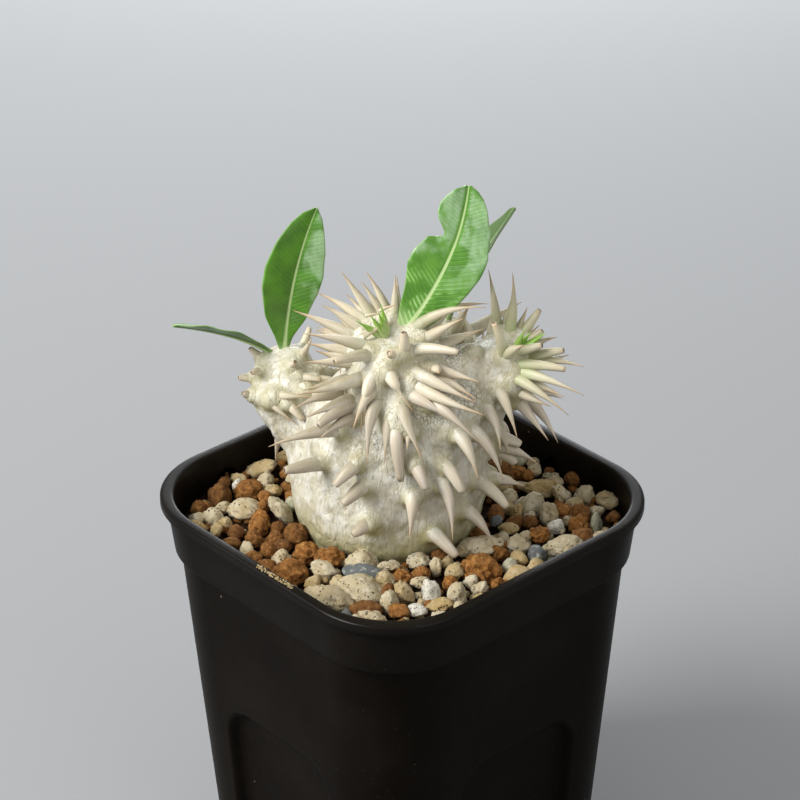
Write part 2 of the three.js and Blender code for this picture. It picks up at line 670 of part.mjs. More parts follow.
function budSolid(bud, grow) {
  const core = new THREE.IcosahedronGeometry(KNOB + grow * KNOB_CLEARANCE, 0);
  core.translate(...bud.knob);
  return joined([solid(core), ...bud.blades.map((blade) => solid(spineGeometry(blade, grow)))]);
}

function caudexSolid() {
  const pieces = [caudexBody(0, CAUDEX_DETAIL)];
  for (const spine of SPINES) {
    pieces.push(solid(spineGeometry(spine, 0)));
  }
  let body = joined(pieces);
  for (const leaf of LEAVES) {
    body = body.subtract(solid(leafGeometry(leaf, GAP)));
  }
  for (const bud of BUDS) {
    body = body.subtract(budSolid(bud, GAP));
  }
  return largestPiece(body);
}

// Gravel. The grains that show at the front lie one by one: how far to the right and away
// from the pot's middle, then width and height as seen from the front, and slope in degrees.
const PLACED_GRAINS = [
  [-15.5, -33, 11, 5, -27], [-9, -29, 10.3, 6.6, -5], [-8.5, -22, 8.5, 2.8, -3],
  [-9, -18, 6.8, 6, 0], [-25, -22, 7.5, 6.4, 0], [-21.5, -14, 6, 5.2, 0],
  [-16, -16.5, 6.6, 5.6, -10], [-17, -21.5, 6.5, 4.2, -25], [-24, -6.5, 5.8, 6.2, 0],
  [-28.5, -8, 3.6, 3.6, 0], [-33.5, -8, 4, 4.6, 0], [-30, -13, 3.6, 4.6, 0],
  [-27, -17, 4, 5.6, -30], [-43, 1, 4.3, 5, 20], [-27.5, 4, 7.7, 4.1, -55],
  [-36, 5, 7.6, 4.6, 0], [-32.5, -3.5, 5.2, 4.4, 0], [-30, 13, 4.4, 3.2, 0],
  [-42, 11, 5.4, 6.8, 0], [-42, 21, 4.8, 4.4, 0], [-46.5, 5, 3.8, 4.6, 0],
  [-35, 13, 7, 5.2, 0], [-33, 23, 8, 4.4, 15], [-38, 15, 2.6, 3.6, 0],
  [-46, -2.5, 4.2, 2.2, -30], [-37.5, -5.5, 3.6, 4, 0], [-40, -1, 3, 2.6, 0],
  [-8, -37, 7, 3.5, 0], [-6.5, -40, 6, 3, -10], [-3, -34.5, 4, 6.4, 0],
  [0.5, -31, 7, 3.3, -62], [-3, -20, 4.6, 2.8, 0], [-14, -26, 4.6, 3.4, 25],
  [0, -24, 4.8, 3.6, 0], [4, -23, 4, 3.4, 0], [3.5, -18, 5.6, 3.6, 5],
  [7.5, -20, 3, 4, 0], [6.3, -30, 4.4, 6.8, 0], [12, -32, 4.2, 6.8, 0],
  [11.5, -22, 4.4, 4.2, 0], [17.5, -21, 8.4, 7.2, -15], [18, -11.5, 9.4, 4.2, 5],
  [30, -16, 4.4, 4.8, 0], [36.5, -12.5, 9, 4.8, 5], [35, -4, 3.8, 3.8, 0],
  [40, -3, 4.4, 4.6, 0], [31, -7, 4.4, 3.8, 0], [21, -28, 3.2, 3.6, 0],
  [44, -2, 2.8, 5.4, 0], [48, 8, 6, 5, -10], [42, 10, 4.8, 4.8, 0],
  [37, 9.5, 6, 3.8, -50], [26, -11, 5, 4.6, 10], [33.5, 2, 4, 5.4, 0],
  [17, -29.5, 4, 2.8, 30], [37.5, 26, 4.6, 5, 20], [40, 17, 4.2, 3.4, 0],
  [29, -2, 3.8, 3, 0], [24, -5, 4.4, 2.6, 0], [26, 2, 4, 2.8, 60],
  [32, 13, 8, 4, 0], [24, -20, 3.4, 3, 0], [3, -38, 4.4, 3, 0], [8, -36, 6, 2.8, 8],
];
// The others are thrown between them, large ones first, clear of the caudex
const GRAIN_SIZES = [
  { count: 20, low: 2.6, high: 3.6 },
  { count: 110, low: 1.5, high: 2.3 },
];
const GRAIN_TRIES = 250;
// A grain with a longer half length than this has twenty faces, a smaller one eight
const BIG_GRAIN = 2.4;
const GRAIN_TOUCH = 0.84;
const GRAIN_CLEARANCE = 0.75;
const GRAIN_RISE = 0.6;
const PLANT_AXIS = new THREE.Vector3(0, 0, 1);

function insideRing(x, y, half) {
  const corner = half * CORNER_SHARE;
  const dx = Math.max(Math.abs(x) - (half - corner), 0);
  const dy = Math.max(Math.abs(y) - (half - corner), 0);
  return Math.hypot(dx, dy) < corner && Math.abs(x) < half && Math.abs(y) < half;
}

// The front view looks down at this angle, which splits a seen height into depth and rise
const VIEW_SLOPE = THREE.MathUtils.degToRad(29.7);

function placedGrain([right, away, width, height, slope]) {
  const spot = new THREE.Vector3(right, away, 0).applyAxisAngle(PLANT_AXIS, PLANT_TURN);
  const depth = (width + height) / 4;
  const rest = (height / 2) ** 2 - (depth * Math.sin(VIEW_SLOPE)) ** 2;
  const rise = Math.max(Math.sqrt(Math.max(rest, 0)) / Math.cos(VIEW_SLOPE), depth * GRAIN_RISE);
  return {
    x: spot.x, y: spot.y, z: GRAVEL_LEVEL + GRAIN_RISE - rise * (1 - GRAIN_RISE),
    half: [width / 2, depth, rise], tip: THREE.MathUtils.degToRad(slope), turn: PLANT_TURN,
  };
}

function throwGrains() {
  const grains = PLACED_GRAINS.map(placedGrain);
  const room = innerHalf(GRAVEL_LEVEL) - GAP;
  const point = new THREE.Vector3();
  for (const size of GRAIN_SIZES) {
    for (let i = 0; i < size.count; i += 1) {
      const radius = drawBetween(size.low, size.high);
      const long = drawBetween(1, 1.3);
      const flat = drawBetween(0.72, 0.95);
      const turn = drawBetween(0, Math.PI);
      const half = [radius * long, radius / long, radius * flat];
      for (let tries = 0; tries < GRAIN_TRIES; tries += 1) {
        const x = drawBetween(-room, room);
        const y = drawBetween(-room, room);
        const z = GRAVEL_LEVEL - 0.25 * radius + drawBetween(-0.6, 0.6);
        point.set(x, y, z - GRAVEL_LEVEL).applyAxisAngle(PLANT_AXIS, -PLANT_TURN);
        const free = grains.every((g) => Math.hypot(g.x - x, g.y - y) > GRAIN_TOUCH * (g.half[1] + radius));
        const clear = free && caudexField(point.x, point.y, point.z) > GRAIN_CLEARANCE * radius;
        if (clear && insideRing(x, y, room - radius)) {
          grains.push({ x, y, z, half, tip: turn * 0.15, turn });
          break;
        }
      }
    }
  }
  return grains;
}

function grainSolid(grain) {
  const big = Math.max(...grain.half) > BIG_GRAIN;
  const block = big ? new THREE.IcosahedronGeometry(1, 0) : new THREE.OctahedronGeometry(1.15, 0);
  const stone = mergeVertices(bare(block), 1e-4);
  const position = stone.attributes.position;
  for (let i = 0; i < position.count; i += 1) {
    const swell = drawBetween(0.86, 1.14);
    position.setXYZ(i, position.getX(i) * swell, position.getY(i) * swell, position.getZ(i) * swell);
  }
  stone.scale(...grain.half);
  stone.rotateY(-grain.tip);
  stone.rotateZ(grain.turn);
  stone.translate(grain.x, grain.y, grain.z);
  return solid(stone);
}

function bare(geometry) {
  geometry.deleteAttribute('normal');
  geometry.deleteAttribute('uv');
  return geometry;
}

const plantPlace = new THREE.Matrix4().makeRotationZ(PLANT_TURN).setPosition(0, 0, GRAVEL_LEVEL);
function placed(body) {
  return body.transform(plantPlace.elements);
}

function soilGeometry() {
  startDraws(SEED + 1);
  const grains = throwGrains();
  const core = hollow(GAP, CORE_LEVEL, false);
  const space = hollow(GAP, POT_HEIGHT - LIP_HEIGHT, false);
  let soil = joined(grains.map(grainSolid)).intersect(space).add(core);
  soil = soil.subtract(placed(caudexBody(GAP, CAUDEX_DETAIL)));
  for (const spine of SPINES) {
    const lowest = Math.min(spine.root.z + spine.reach.z, spine.root.z);
    if (lowest < 4) {
      soil = soil.subtract(placed(solid(spineGeometry(spine, GAP))));
    }
  }
  return toGeometry(largestPiece(soil));
}

const model = new THREE.Group();
model.name = 'potted_pachypodium';

function addPiece(parent, name, geometry, color, roughness) {
  const material = new THREE.MeshStandardMaterial({ color, roughness, metalness: 0 });
  const mesh = new THREE.Mesh(geometry, material);
  mesh.name = name;
  parent.add(mesh);
  return mesh;
}

const plant = new THREE.Group();
plant.applyMatrix4(plantPlace);
model.add(plant);
addPiece(model, 'pot', potGeometry(), 0x17171a, 0.45);
addPiece(model, 'gritty_soil', soilGeometry(), 0x9a7a54, 0.9);
addPiece(plant, 'caudex', toGeometry(caudexSolid()), 0xd8cfba, 0.6);
for (const leaf of LEAVES) {
  addPiece(plant, leaf.name, leafGeometry(leaf, 0), 0x4f9a2e, 0.4);
}
for (const bud of BUDS) {
  addPiece(plant, bud.name, toGeometry(budSolid(bud, 0)), 0x9dbb62, 0.5);
}

export default model;
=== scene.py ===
"""Looks of a potted pachypodium: pot, gravel, bark, horns, leaves and buds round its solid model.

Lengths are in millimetres until a piece is finished, and the plant has its own axes:
X to the right and Y away as seen from the front, Z up from the gravel.
"""

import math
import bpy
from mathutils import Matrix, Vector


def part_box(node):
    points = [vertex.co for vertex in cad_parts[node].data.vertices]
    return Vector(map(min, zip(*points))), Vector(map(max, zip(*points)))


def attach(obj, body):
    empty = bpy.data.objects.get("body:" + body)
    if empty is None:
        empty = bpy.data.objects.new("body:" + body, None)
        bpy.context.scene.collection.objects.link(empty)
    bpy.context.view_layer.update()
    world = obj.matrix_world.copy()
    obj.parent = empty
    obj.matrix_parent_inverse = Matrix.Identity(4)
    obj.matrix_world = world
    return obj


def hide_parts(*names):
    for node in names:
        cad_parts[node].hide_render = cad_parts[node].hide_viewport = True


bl_info = {
    "name": "Potted Pachypodium",
    "version": (1, 0, 0),
    "blender": (4, 5, 0),
    "location": "View3D > Sidebar > Pachypodium",
    "description": "Builds the visible surfaces of a potted pachypodium around its solid model",
    "category": "Add Mesh",
}

from collections import namedtuple

import bmesh
import bpy
import numpy as np
from mathutils import Matrix, Vector, noise

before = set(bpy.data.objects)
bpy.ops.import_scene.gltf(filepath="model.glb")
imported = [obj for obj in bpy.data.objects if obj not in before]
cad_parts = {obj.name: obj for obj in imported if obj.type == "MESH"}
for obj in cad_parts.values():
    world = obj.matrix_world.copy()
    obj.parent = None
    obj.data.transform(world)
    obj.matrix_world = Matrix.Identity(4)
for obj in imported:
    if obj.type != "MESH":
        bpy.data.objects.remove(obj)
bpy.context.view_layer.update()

MM = 0.001
POT_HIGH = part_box("pot")[1]
POT_HEIGHT = POT_HIGH.z / MM
LIP_HALF = POT_HIGH.x / MM
LIP_OVER_GRAVEL = 7
GRAVEL_LEVEL = POT_HEIGHT - LIP_OVER_GRAVEL
PLANT_TURN = math.radians(48.35)
PLANT_PLACE = Matrix.Translation((0, 0, GRAVEL_LEVEL)) @ Matrix.Rotation(PLANT_TURN, 4, "Z")
SEED = 20240611


class Draws:
    """Seeded draws between 0 and 1, the same on every run."""

    def __init__(self, seed):
        self.state = seed

    def next(self):
        self.state = (1664525 * self.state + 1013904223) % 4294967296
        return self.state / 4294967296

    def between(self, low, high):
        return low + (high - low) * self.next()


def unit(vectors):
    """A vector, or each row of several, brought to length one."""
    return vectors / np.linalg.norm(vectors, axis=-1, keepdims=True)


def smooth_step(low, high, value):
    """0 at low and 1 at high, smooth between. Low may be the larger."""
    share = np.clip((value - low) / (high - low), 0, 1)
    return share * share * (3 - 2 * share)


def tilted(axis, tilt, around):
    """A direction that leans from an axis by a tilt, turned round it."""
    first = unit(np.cross((0, 1, 0), axis))
    outward = first * math.cos(around) + np.cross(axis, first) * math.sin(around)
    return outward * math.sin(tilt) + axis * math.cos(tilt)


# Meshes and objects

def baked(bm, name):
    """The mesh of a bmesh, which is freed."""
    mesh = bpy.data.meshes.new(name)
    bm.to_mesh(mesh)
    bm.free()
    return mesh


def add_object(name, data):
    made = bpy.data.objects.new(name, data)
    bpy.context.scene.collection.objects.link(made)
    return made


def points_of(verts):
    return np.array([vert.co[:] for vert in verts])


def move_to(verts, points):
    for vert, point in zip(verts, points.tolist()):
        vert.co = point


def add_copy(bm, template):
    """Adds a template mesh and gives back the new vertices."""
    before = len(bm.verts)
    bm.from_mesh(template)
    bm.verts.ensure_lookup_table()
    return bm.verts[before:]


def set_values(bm, **columns):
    """Stores named attributes, each with a number or a vector for every vertex in order."""
    for name, values in columns.items():
        layers = bm.verts.layers.float_vector if np.ndim(values) == 2 else bm.verts.layers.float
        layer = layers.new(name)
        for vert, value in zip(bm.verts, np.asarray(values).tolist()):
            vert[layer] = value


def ball_template(detail):
    bm = bmesh.new()
    bmesh.ops.create_icosphere(bm, subdivisions=detail, radius=1)
    return baked(bm, "ball")


def with_modifier(bm, kind, groups=(), **settings):
    """A copy of a bmesh after one modifier."""
    mesh = baked(bm, "before")
    holder = add_object("before", mesh)
    for group in groups:
        holder.vertex_groups.new(name=group)
    modifier = holder.modifiers.new(kind, kind)
    for name, value in settings.items():
        setattr(modifier, name, value)
    evaluated = holder.evaluated_get(bpy.context.evaluated_depsgraph_get())
    shaped = bpy.data.meshes.new_from_object(evaluated)
    bpy.data.objects.remove(holder)
    bpy.data.meshes.remove(mesh)
    result = bmesh.new()
    result.from_mesh(shaped)
    bpy.data.meshes.remove(shaped)
    return result


def finish_piece(bm, name, material, nodes, place=None):
    """Moves a mesh to its place in metres and makes it a piece that stands for CAD nodes."""
    if place is not None:
        bmesh.ops.transform(bm, verts=bm.verts, matrix=place)
    bmesh.ops.scale(bm, verts=bm.verts, vec=(MM, MM, MM))
    mesh = baked(bm, name)
    mesh.shade_smooth()
    mesh.materials.append(material)
    piece = add_object(name, mesh)
    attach(piece, "root")
    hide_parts(*nodes)
    return piece


# The pot

CORNER_SHARE = 0.467
WALL = 1.1
FLOOR = 1.6
GAP = 0.35
WELD = 1e-4
FOOT_ROUND = 1.2
SMALL_ROUND = 0.4
LIP_UNDER_ROUND = 0.35
BASE_HALF = 35.6
BODY_TOP_HALF = 41.45
COLLAR_TOP_HALF = 43.8
COLLAR_FOOT_HALF = 42.65
COLLAR_HEIGHT = 13.5
STEP_RISE = 1.2
LIP_HEIGHT = 2.2
LIP_ROUND = 0.7
STEP_TOP = POT_HEIGHT - COLLAR_HEIGHT
STEP_FOOT = STEP_TOP - STEP_RISE
LIP_FOOT = POT_HEIGHT - LIP_HEIGHT
BODY_TAPER = (BODY_TOP_HALF - BASE_HALF) / STEP_FOOT
RECESS_HALF_WIDTH = 17
RECESS_TOP = 51
RECESS_DEPTH = 2.4
RECESS_CORNER = 8
RECESS_EDGE = 0.8
SLIT_WIDTH = 3.2
SLIT_INNER = 15
SLIT_TOP = 11
CORE_UNDER_GRAVEL = 2.2
CORE_LEVEL = GRAVEL_LEVEL - CORE_UNDER_GRAVEL


def ring_points():
    """A square with round corners and a half side of one, finer where the recess edges pass."""
    straight = 1 - CORNER_SHARE
    close = 0.39
    run = [*np.linspace(-straight, -close, 13), *np.linspace(-close, close, 17)[1:-1],
           *np.linspace(close, straight, 13)]
    corner = [math.radians(a) for a in np.linspace(0, 90, 17)[1:-1]]
    side = [(1.0, t) for t in run]
    side += [(straight + CORNER_SHARE * math.cos(a), straight + CORNER_SHARE * math.sin(a))
             for a in corner]
    points = []
    for quarter in range(4):
        turn = quarter * math.pi / 2
        for x, y in side:
            points.append((x * math.cos(turn) - y * math.sin(turn),
                           x * math.sin(turn) + y * math.cos(turn)))
    return points


RING = ring_points()


def body_half(height):
    return BASE_HALF + BODY_TAPER * height


def inner_half(height):
    if height <= STEP_FOOT:
        return body_half(height) - WALL
    rise = (height - STEP_TOP) / (COLLAR_HEIGHT - LIP_HEIGHT)
    return COLLAR_FOOT_HALF - WALL + (COLLAR_TOP_HALF - COLLAR_FOOT_HALF) * rise


def wall_heights(top):
    """Heights up the wall, close together round the top of the recess."""
    low = RECESS_TOP - RECESS_CORNER - 2
    return [*np.linspace(4, low, 10), *np.linspace(low, RECESS_TOP + 2, 26)[1:],
            *np.linspace(RECESS_TOP + 2, top, 9)[1:]]


def recess_depth(across, height, margin):
    """How far the recessed panel of a side draws the wall in."""
    out_across = np.abs(across) - (RECESS_HALF_WIDTH + margin - RECESS_CORNER)
    out_up = height - (RECESS_TOP + margin - RECESS_CORNER)
    past = np.hypot(max(out_across, 0), max(out_up, 0)) + min(max(out_across, out_up), 0)
    return RECESS_DEPTH * float(smooth_step(RECESS_EDGE, -RECESS_EDGE, past - RECESS_CORNER))


def square_turned(bm, profile, margin):
    """A profile of half side against height wrapped round the pot's plan, closed at both poles."""
    columns = len(RING)
    rows = len(profile) - 1
    made = bmesh.ops.create_grid(bm, x_segments=columns, y_segments=rows, size=1)["verts"]
    for vert in made:
        x, y = RING[round((vert.co.x + 1) / 2 * columns) % columns]
        half, height = profile[round((vert.co.y + 1) / 2 * rows)]
        point = Vector((x * half, y * half, height))
        if half > SLIT_INNER:
            out, across = (0, 1) if abs(x) > abs(y) else (1, 0)
            point[out] -= math.copysign(recess_depth(point[across], height, margin), point[out])
        vert.co = point
    bmesh.ops.remove_doubles(bm, verts=made, dist=WELD)
    bmesh.ops.recalc_face_normals(bm, faces=bm.faces)


def arc(centre, radius, start, end, steps):
    """Points on an arc, angles in degrees from the outward direction up."""
    angles = [math.radians(a) for a in np.linspace(start, end, steps)]
    return [(centre[0] + radius * math.cos(a), centre[1] + radius * math.sin(a)) for a in angles]


def pot_profile():
    """From the middle of the underside, up the outside, over the lip and down to the floor."""
    inner_lip = inner_half(LIP_FOOT) - SMALL_ROUND
    lip_middle = POT_HEIGHT - LIP_ROUND
    flare_up = STEP_TOP + 5.5
    points = [(0, 0), (12, 0), (24, 0)]
    points += arc((BASE_HALF - FOOT_ROUND, FOOT_ROUND), FOOT_ROUND, -90, 0, 5)
    points += [(body_half(z), z) for z in wall_heights(STEP_FOOT - 0.5)]
    points += arc((BODY_TOP_HALF + SMALL_ROUND, STEP_FOOT + 0.1), SMALL_ROUND, 180, 120, 4)
    points += arc((COLLAR_FOOT_HALF - SMALL_ROUND, STEP_TOP), SMALL_ROUND, -50, 0, 4)
    points += [(COLLAR_FOOT_HALF + 0.55, flare_up), (COLLAR_TOP_HALF, LIP_FOOT - 0.9)]
    points += arc((COLLAR_TOP_HALF + SMALL_ROUND, LIP_FOOT - 0.5), SMALL_ROUND, 180, 110, 3)
    points += arc((LIP_HALF - LIP_UNDER_ROUND, LIP_FOOT + 0.15), LIP_UNDER_ROUND, -90, 0, 4)
    points += arc((LIP_HALF - LIP_ROUND, lip_middle), LIP_ROUND, 0, 90, 6)
    points += arc((inner_lip + LIP_ROUND, lip_middle), LIP_ROUND, 90, 180, 6)
    points += [(inner_half(STEP_TOP) + 0.5, flare_up), (inner_half(STEP_TOP), STEP_TOP)]
    points += [(body_half(z) - WALL, z) for z in reversed(wall_heights(STEP_FOOT))]
    points += arc((inner_half(FLOOR) - 1, FLOOR + 1), 1, 0, -90, 4)
    points += [(24, FLOOR), (12, FLOOR), (0, FLOOR)]
    return points


def slit_cutter():
    """Four round-topped blocks that cut the drain slits from the floor up the foot."""
    bm = bmesh.new()
    length = BASE_HALF + 5 - SLIT_INNER
    size = Matrix.Diagonal((SLIT_WIDTH, length, SLIT_TOP + 2, 1))
    shift = Matrix.Translation((0, -(length / 2 + SLIT_INNER), SLIT_TOP / 2 - 1))
    for side in range(4):
        made = bmesh.ops.create_cube(bm, size=1)["verts"]
        turn = Matrix.Rotation(side * math.pi / 2, 4, "Z")
        bmesh.ops.transform(bm, verts=made, matrix=turn @ shift @ size)
    upper = [e for e in bm.edges if min(v.co.z for v in e.verts) > SLIT_TOP - 1
             and e.calc_length() > SLIT_WIDTH * 2]
    bmesh.ops.bevel(bm, geom=upper, offset=SLIT_WIDTH * 0.48, offset_type="OFFSET",
                    affect="EDGES", segments=4, profile=0.5, material=-1)
    return bm


# The caudex, as lobes run together: first end, second end and the radius at each

LOBES = [
    ((-2.8, 5, 6), (-1.1, 4, 17), 21.9, 20.5),
    ((-1, 1, 28), (-0.5, -1.5, 42), 14, 8),
    ((6, 3, 24), (21.5, 2.5, 36.8), 12.5, 7),
    ((-13, 10, 12), (-24.5, 16, 22), 11, 7.5),
    ((-24.5, 16, 22), (-26, 18, 28.3), 7.5, 6.2),
    ((4, 10, 24), (10, 16, 37), 11, 6),
    ((7.5, -4, 28), (8, -4, 31), 9.6, 9.4),
    ((11.5, 0, 33), (12, -1, 37.5), 7.5, 6.2),
    ((-3, 5, -4), (-3, 5, -18), 15, 8),
]
LOBE_BLEND = 4
# Steps along a line towards the skin: the longest way, how near is enough, the share of the
# distance to step and the least step
WAY_LIMIT = 80
SKIN_NEAR = 0.01
STRIDE_SHARE = 0.7
LEAST_STRIDE = 0.02


def capsule_distance(points, a, b, ra, rb):
    """Distance of points out of a tapered capsule."""
    a = np.asarray(a, float)
    span = np.asarray(b, float) - a
    share = np.clip((points - a) @ span / (span @ span), 0, 1)
    away = np.linalg.norm(points - a - share[:, None] * span, axis=1)
    return away - ra - (rb - ra) * share


def run_together(first, second, blend):
    """The nearer of two distances, with the valley between them filled."""
    near = np.maximum(blend - np.abs(first - second), 0) / blend
    return np.minimum(first, second) - near * near * blend / 4


def caudex_field(points):
    """Distance out of the caudex, below zero inside."""
    points = np.atleast_2d(points)
    distance = np.full(len(points), 1000.0)
    for lobe in LOBES:
        distance = run_together(distance, capsule_distance(points, *lobe), LOBE_BLEND)
    return distance


def surface_point(start, direction):
    """The first point out from a start along a direction where the skin is."""
    point = np.array(start, float)
    travelled = 0.0
    while travelled < WAY_LIMIT:
        value = caudex_field(point)[0]
        if value > -SKIN_NEAR:
            break
        stride = max(-value * STRIDE_SHARE, LEAST_STRIDE)
        point = point + direction * stride
        travelled += stride
    return point


def surface_normal(point):
    step = 0.1 * np.eye(3)
    return unit(caudex_field(point + step) - caudex_field(point - step))


# Horns

SPINE_SINK = 2.2
SPINE_BASE = 1.6
GOLDEN_ANGLE = math.pi * (3 - math.sqrt(5))
# Of the horns thrown by rule: how much a ring's follow the skin's slope, the share of a ring's
# and a tier's length that is reached, the share of a tier's that is broken off
RING_SQUARE = 0.45
RING_STUB_REACH = 0.6
TIER_REACH = 0.6
TIER_STUB_REACH = 0.65
TIER_STUBS = 0.3

# A horn: its root on the skin, the way it leaves it, the way to its tip, its length and base
# radius, whether it is broken off blunt or ends in a needle, and 1 for the youngest
Spine = namedtuple("Spine", "root lean reach length base stub needle young",
                   defaults=(False, False, 0))

# Heads: the heart of each, how stout its horns are, and those one by one. A row gives the root by
# its heading in degrees (0 at the front, positive to the right) and its tilt from upright, seen
# from the heart, then how far the tip goes to the right, to the front and up, and 1 where the
# horn is broken off blunt or 2 where only a thin needle is left beyond a node.
HEADS = (
    ((-0.5, -1, 39), 1, (
        (-124, 27, -8.5, -4.5, 12, 0), (-121, 34, -13, -3.5, 8, 0), (-106, 37, -11, -1.5, 7, 0),
        (-105, 43, -8.5, -2.5, 6.5, 0), (-99, 46, -16, -1, 7.5, 0), (-95, 51, -11, -0.5, 4, 0),
        (-58, 41, -15, 4, 6, 0), (-80, 72, -10, 2, 4.5, 0), (-42, 45, -9, 6, 1.5, 1),
        (-43, 72, -16, 8, -0.5, 0), (-71, 107, -12.5, 6, -0.5, 0), (-51, 107, -12.5, 8, -0.5, 0),
        (-50, 110, -9.5, 8, -1.5, 1), (-46, 119, -9, 8, -1.5, 0), (-55, 125, -17, 6, -1, 0),
        (-30, 65, -4, 6, -12, 2), (-17, 61, 6, 6, -7.5, 2), (-27, 105, -2.5, 9, -11, 0),
        (-9, 119, -1.5, 6, -8, 0), (2, 108, 5, 8, -10, 0), (13, 122, -1, 5, -3, 0),
        (21, 64, 14, 8, -3.5, 0), (18, 79, 16.5, 9, -3.5, 0), (9, 92, 11.5, 7, -3.5, 0),
        (45, 64, 12, 6, -0.5, 0), (24, 37, 10.5, 6, 2.5, 1), (11, 41, 0, 2, 6.5, 1),
        (-4, 43, -1.5, 3, 2.5, 1), (63, 16, 16.5, 5, 8.5, 0), (58, 33, 9.5, 4, 8, 0),
        (75, 48, 12, 1, 5.5, 0), (-143, 23, -5.5, -4, 9, 0), (-160, 22, -5.5, -5, 10.5, 0),
        (-164, 8, 0, -2, 11.5, 0), (150, 30, 4, -6, 11, 0), (120, 42, 9, -6, 8, 0),
        (-150, 50, -8, -8, 6, 0), (180, 45, 0, -10, 8, 0), (150, 60, 6, -10, 4, 0),
        (-170, 70, -2, -11, 2, 0), (100, 30, 9, -1, 9, 0), (-125, 72, -11, -7, 2, 0),
        (-66, 62, -13, 4, 2.2, 0), (-84, 58, -12.5, 1.5, 3.6, 0), (-62, 88, -13, 6, 0.6, 0),
        (-28, 84, -6, 7, -7.5, 0), (33, 100, 11, 8, -6, 0), (48, 82, 10, 7, -1.5, 0),
    )),
    ((19.4, 2.6, 34), 0.9, (
        (146, 25, -2, -7, 14, 0), (115, 29, 1, -4.5, 15, 0), (137, 29, 2, -4, 8, 0),
        (117, 36, 3.5, -3, 7.5, 0), (111, 39, 5.5, -2.5, 7.5, 1), (97, 43, 5, -0.5, 4.5, 1),
        (104, 48, 8, -0.5, 3, 0), (57, 37, 6.5, 3, 4.5, 1), (68, 47, 9.5, 3, 4, 1),
        (72, 50, 13.5, 4, 0.5, 0), (43, 44, 12, 5, 1.5, 1), (43, 52, 15.5, 8, -2, 0),
        (50, 65, 10, 6, -1.5, 0), (34, 57, 13, 8, -5.5, 0), (39, 76, 8.5, 5, -2, 0),
        (13, 71, 4.5, 8, -8.5, 0), (44, 95, 8, 6, -8, 0), (69, 101, 8.5, 5, -10, 0),
        (-7, 98, 3.5, 7, -7, 0), (-50, 30, 0.5, 4, -7, 0), (35, 38, -2.5, 3, 11.5, 1),
        (170, 50, 1, -8, 7, 0), (-150, 45, -4, -6, 8, 0), (140, 65, 7, -8, 3, 0),
        (-175, 75, 0, -9, 2, 0), (110, 75, 10, -3, 1, 0), (95, 100, 9, -1, -4, 0),
    )),
    ((-25.5, 17.5, 25), 0.75, (
        (60, 21, 3, 2, 6.5, 0), (21, 47, 5.5, 3, 1, 1), (-20, 76, 9.5, 4, 1.5, 0),
        (-30, 85, 6.5, 5, -4, 0), (0, 86, 3.5, 4, -2, 1), (-86, 69, -4.5, 1, 0.5, 1),
        (-60, 93, -3.5, 2, 2, 1), (-95, 40, -3, 0, 3, 1),
        (150, 40, 2, -4, 4, 1), (180, 60, 0, -5, 1, 0), (100, 75, 5, -1, 0, 1),
        (-150, 65, -3, -4, 0, 0), (5, 30, 1.5, 3, 3, 1), (-60, 45, -3, 3, 1, 1),
        (48, 62, 8, 3, 1.5, 0), (75, 50, 6.5, 1, 3.5, 0), (28, 72, 7, 4, -1.5, 0),
    )),
)

# The front of the body, horn by horn: azimuth and height of the root, then the tip as above
FRONT_SPINES = (
    (-49, 20.5, -9, 5, 0.8, 1), (-20, 23.5, -6, 5, -3, 1), (-17, 18.4, -5, 5, -2, 1),
    (-13, 9.5, -4.3, 4, -1, 1), (3, 31.7, 1, 6, -10.5, 1), (13, 24, 3, 5, -4, 1),
    (12, 16.2, -0.7, 5.5, -8.5, 0), (30, 18.7, 2.7, 6.5, -12, 0), (32, 23, 4.3, 5, -4.7, 1),
    (40, 30, 5, 6, -9, 0), (49, 29.3, 7.7, 5, -10, 0), (58, 14.4, 7.5, 4, -4.7, 1),
    (49, 8.1, 7, 4, -7, 0), (24, 5.7, 5.7, 5, -3.4, 1), (85, 17.2, 6.3, 2, -3, 1),
    (80, 24.1, 3.4, 2, -6.5, 0), (82, 21.3, 7, 1, -2, 1), (83, 18.6, 11.3, 2, -4, 0),
    (88, 8.6, 9, 1, -1.7, 0),
)

# A head at the back, ringed by its horns in a spiral: heart, axis, count, inner and outer tilt
# in degrees, length, share broken off
REAR_HEAD = ((9, 15, 33.5), (0.3, 0.45, 0.84), 18, 28, 105, 12, 0.2)

# Drooping horns round the sides and back: height, count, azimuths, length, droop
TIERS = (
    (30, 7, 92, 222, 12, 0.9),
    (21, 7, 92, 232, 12, 0.8),
    (12, 7, 96, 250, 11, 1),
    (5, 5, 80, 260, 8, 0.6),
)
BODY_AXIS = (-2, 4)
CROWN_SLIM = 0.3
ROOT_SQUARE = 0.65
DROOP_ARCH = 0.3


def aim(heading, tilt):
    """A direction by its heading from the front and its tilt from upright, in degrees."""
    turn = math.radians(heading)
    level = math.sin(math.radians(tilt))
    return np.array((math.sin(turn) * level, -math.cos(turn) * level, math.cos(math.radians(tilt))))


def spine_at(root, tilt, girth, young, right, front, up, broken):
    reach = np.array((right, -front, up), float)
    lean = unit(unit(reach) * (1 - ROOT_SQUARE) + surface_normal(root) * ROOT_SQUARE)
    base = SPINE_BASE * girth * (1 - CROWN_SLIM * (1 - min(tilt / 90, 1)))
    return Spine(root, lean, reach, np.linalg.norm(reach), base, broken == 1, broken == 2, young)


def head_spines(heart, girth, rows):
    spines = []
    for heading, tilt, *tip in rows:
        root = surface_point(heart, aim(heading, tilt))
        spines.append(spine_at(root, tilt, girth, 1 - min(tilt / 100, 1), *tip))
    return spines


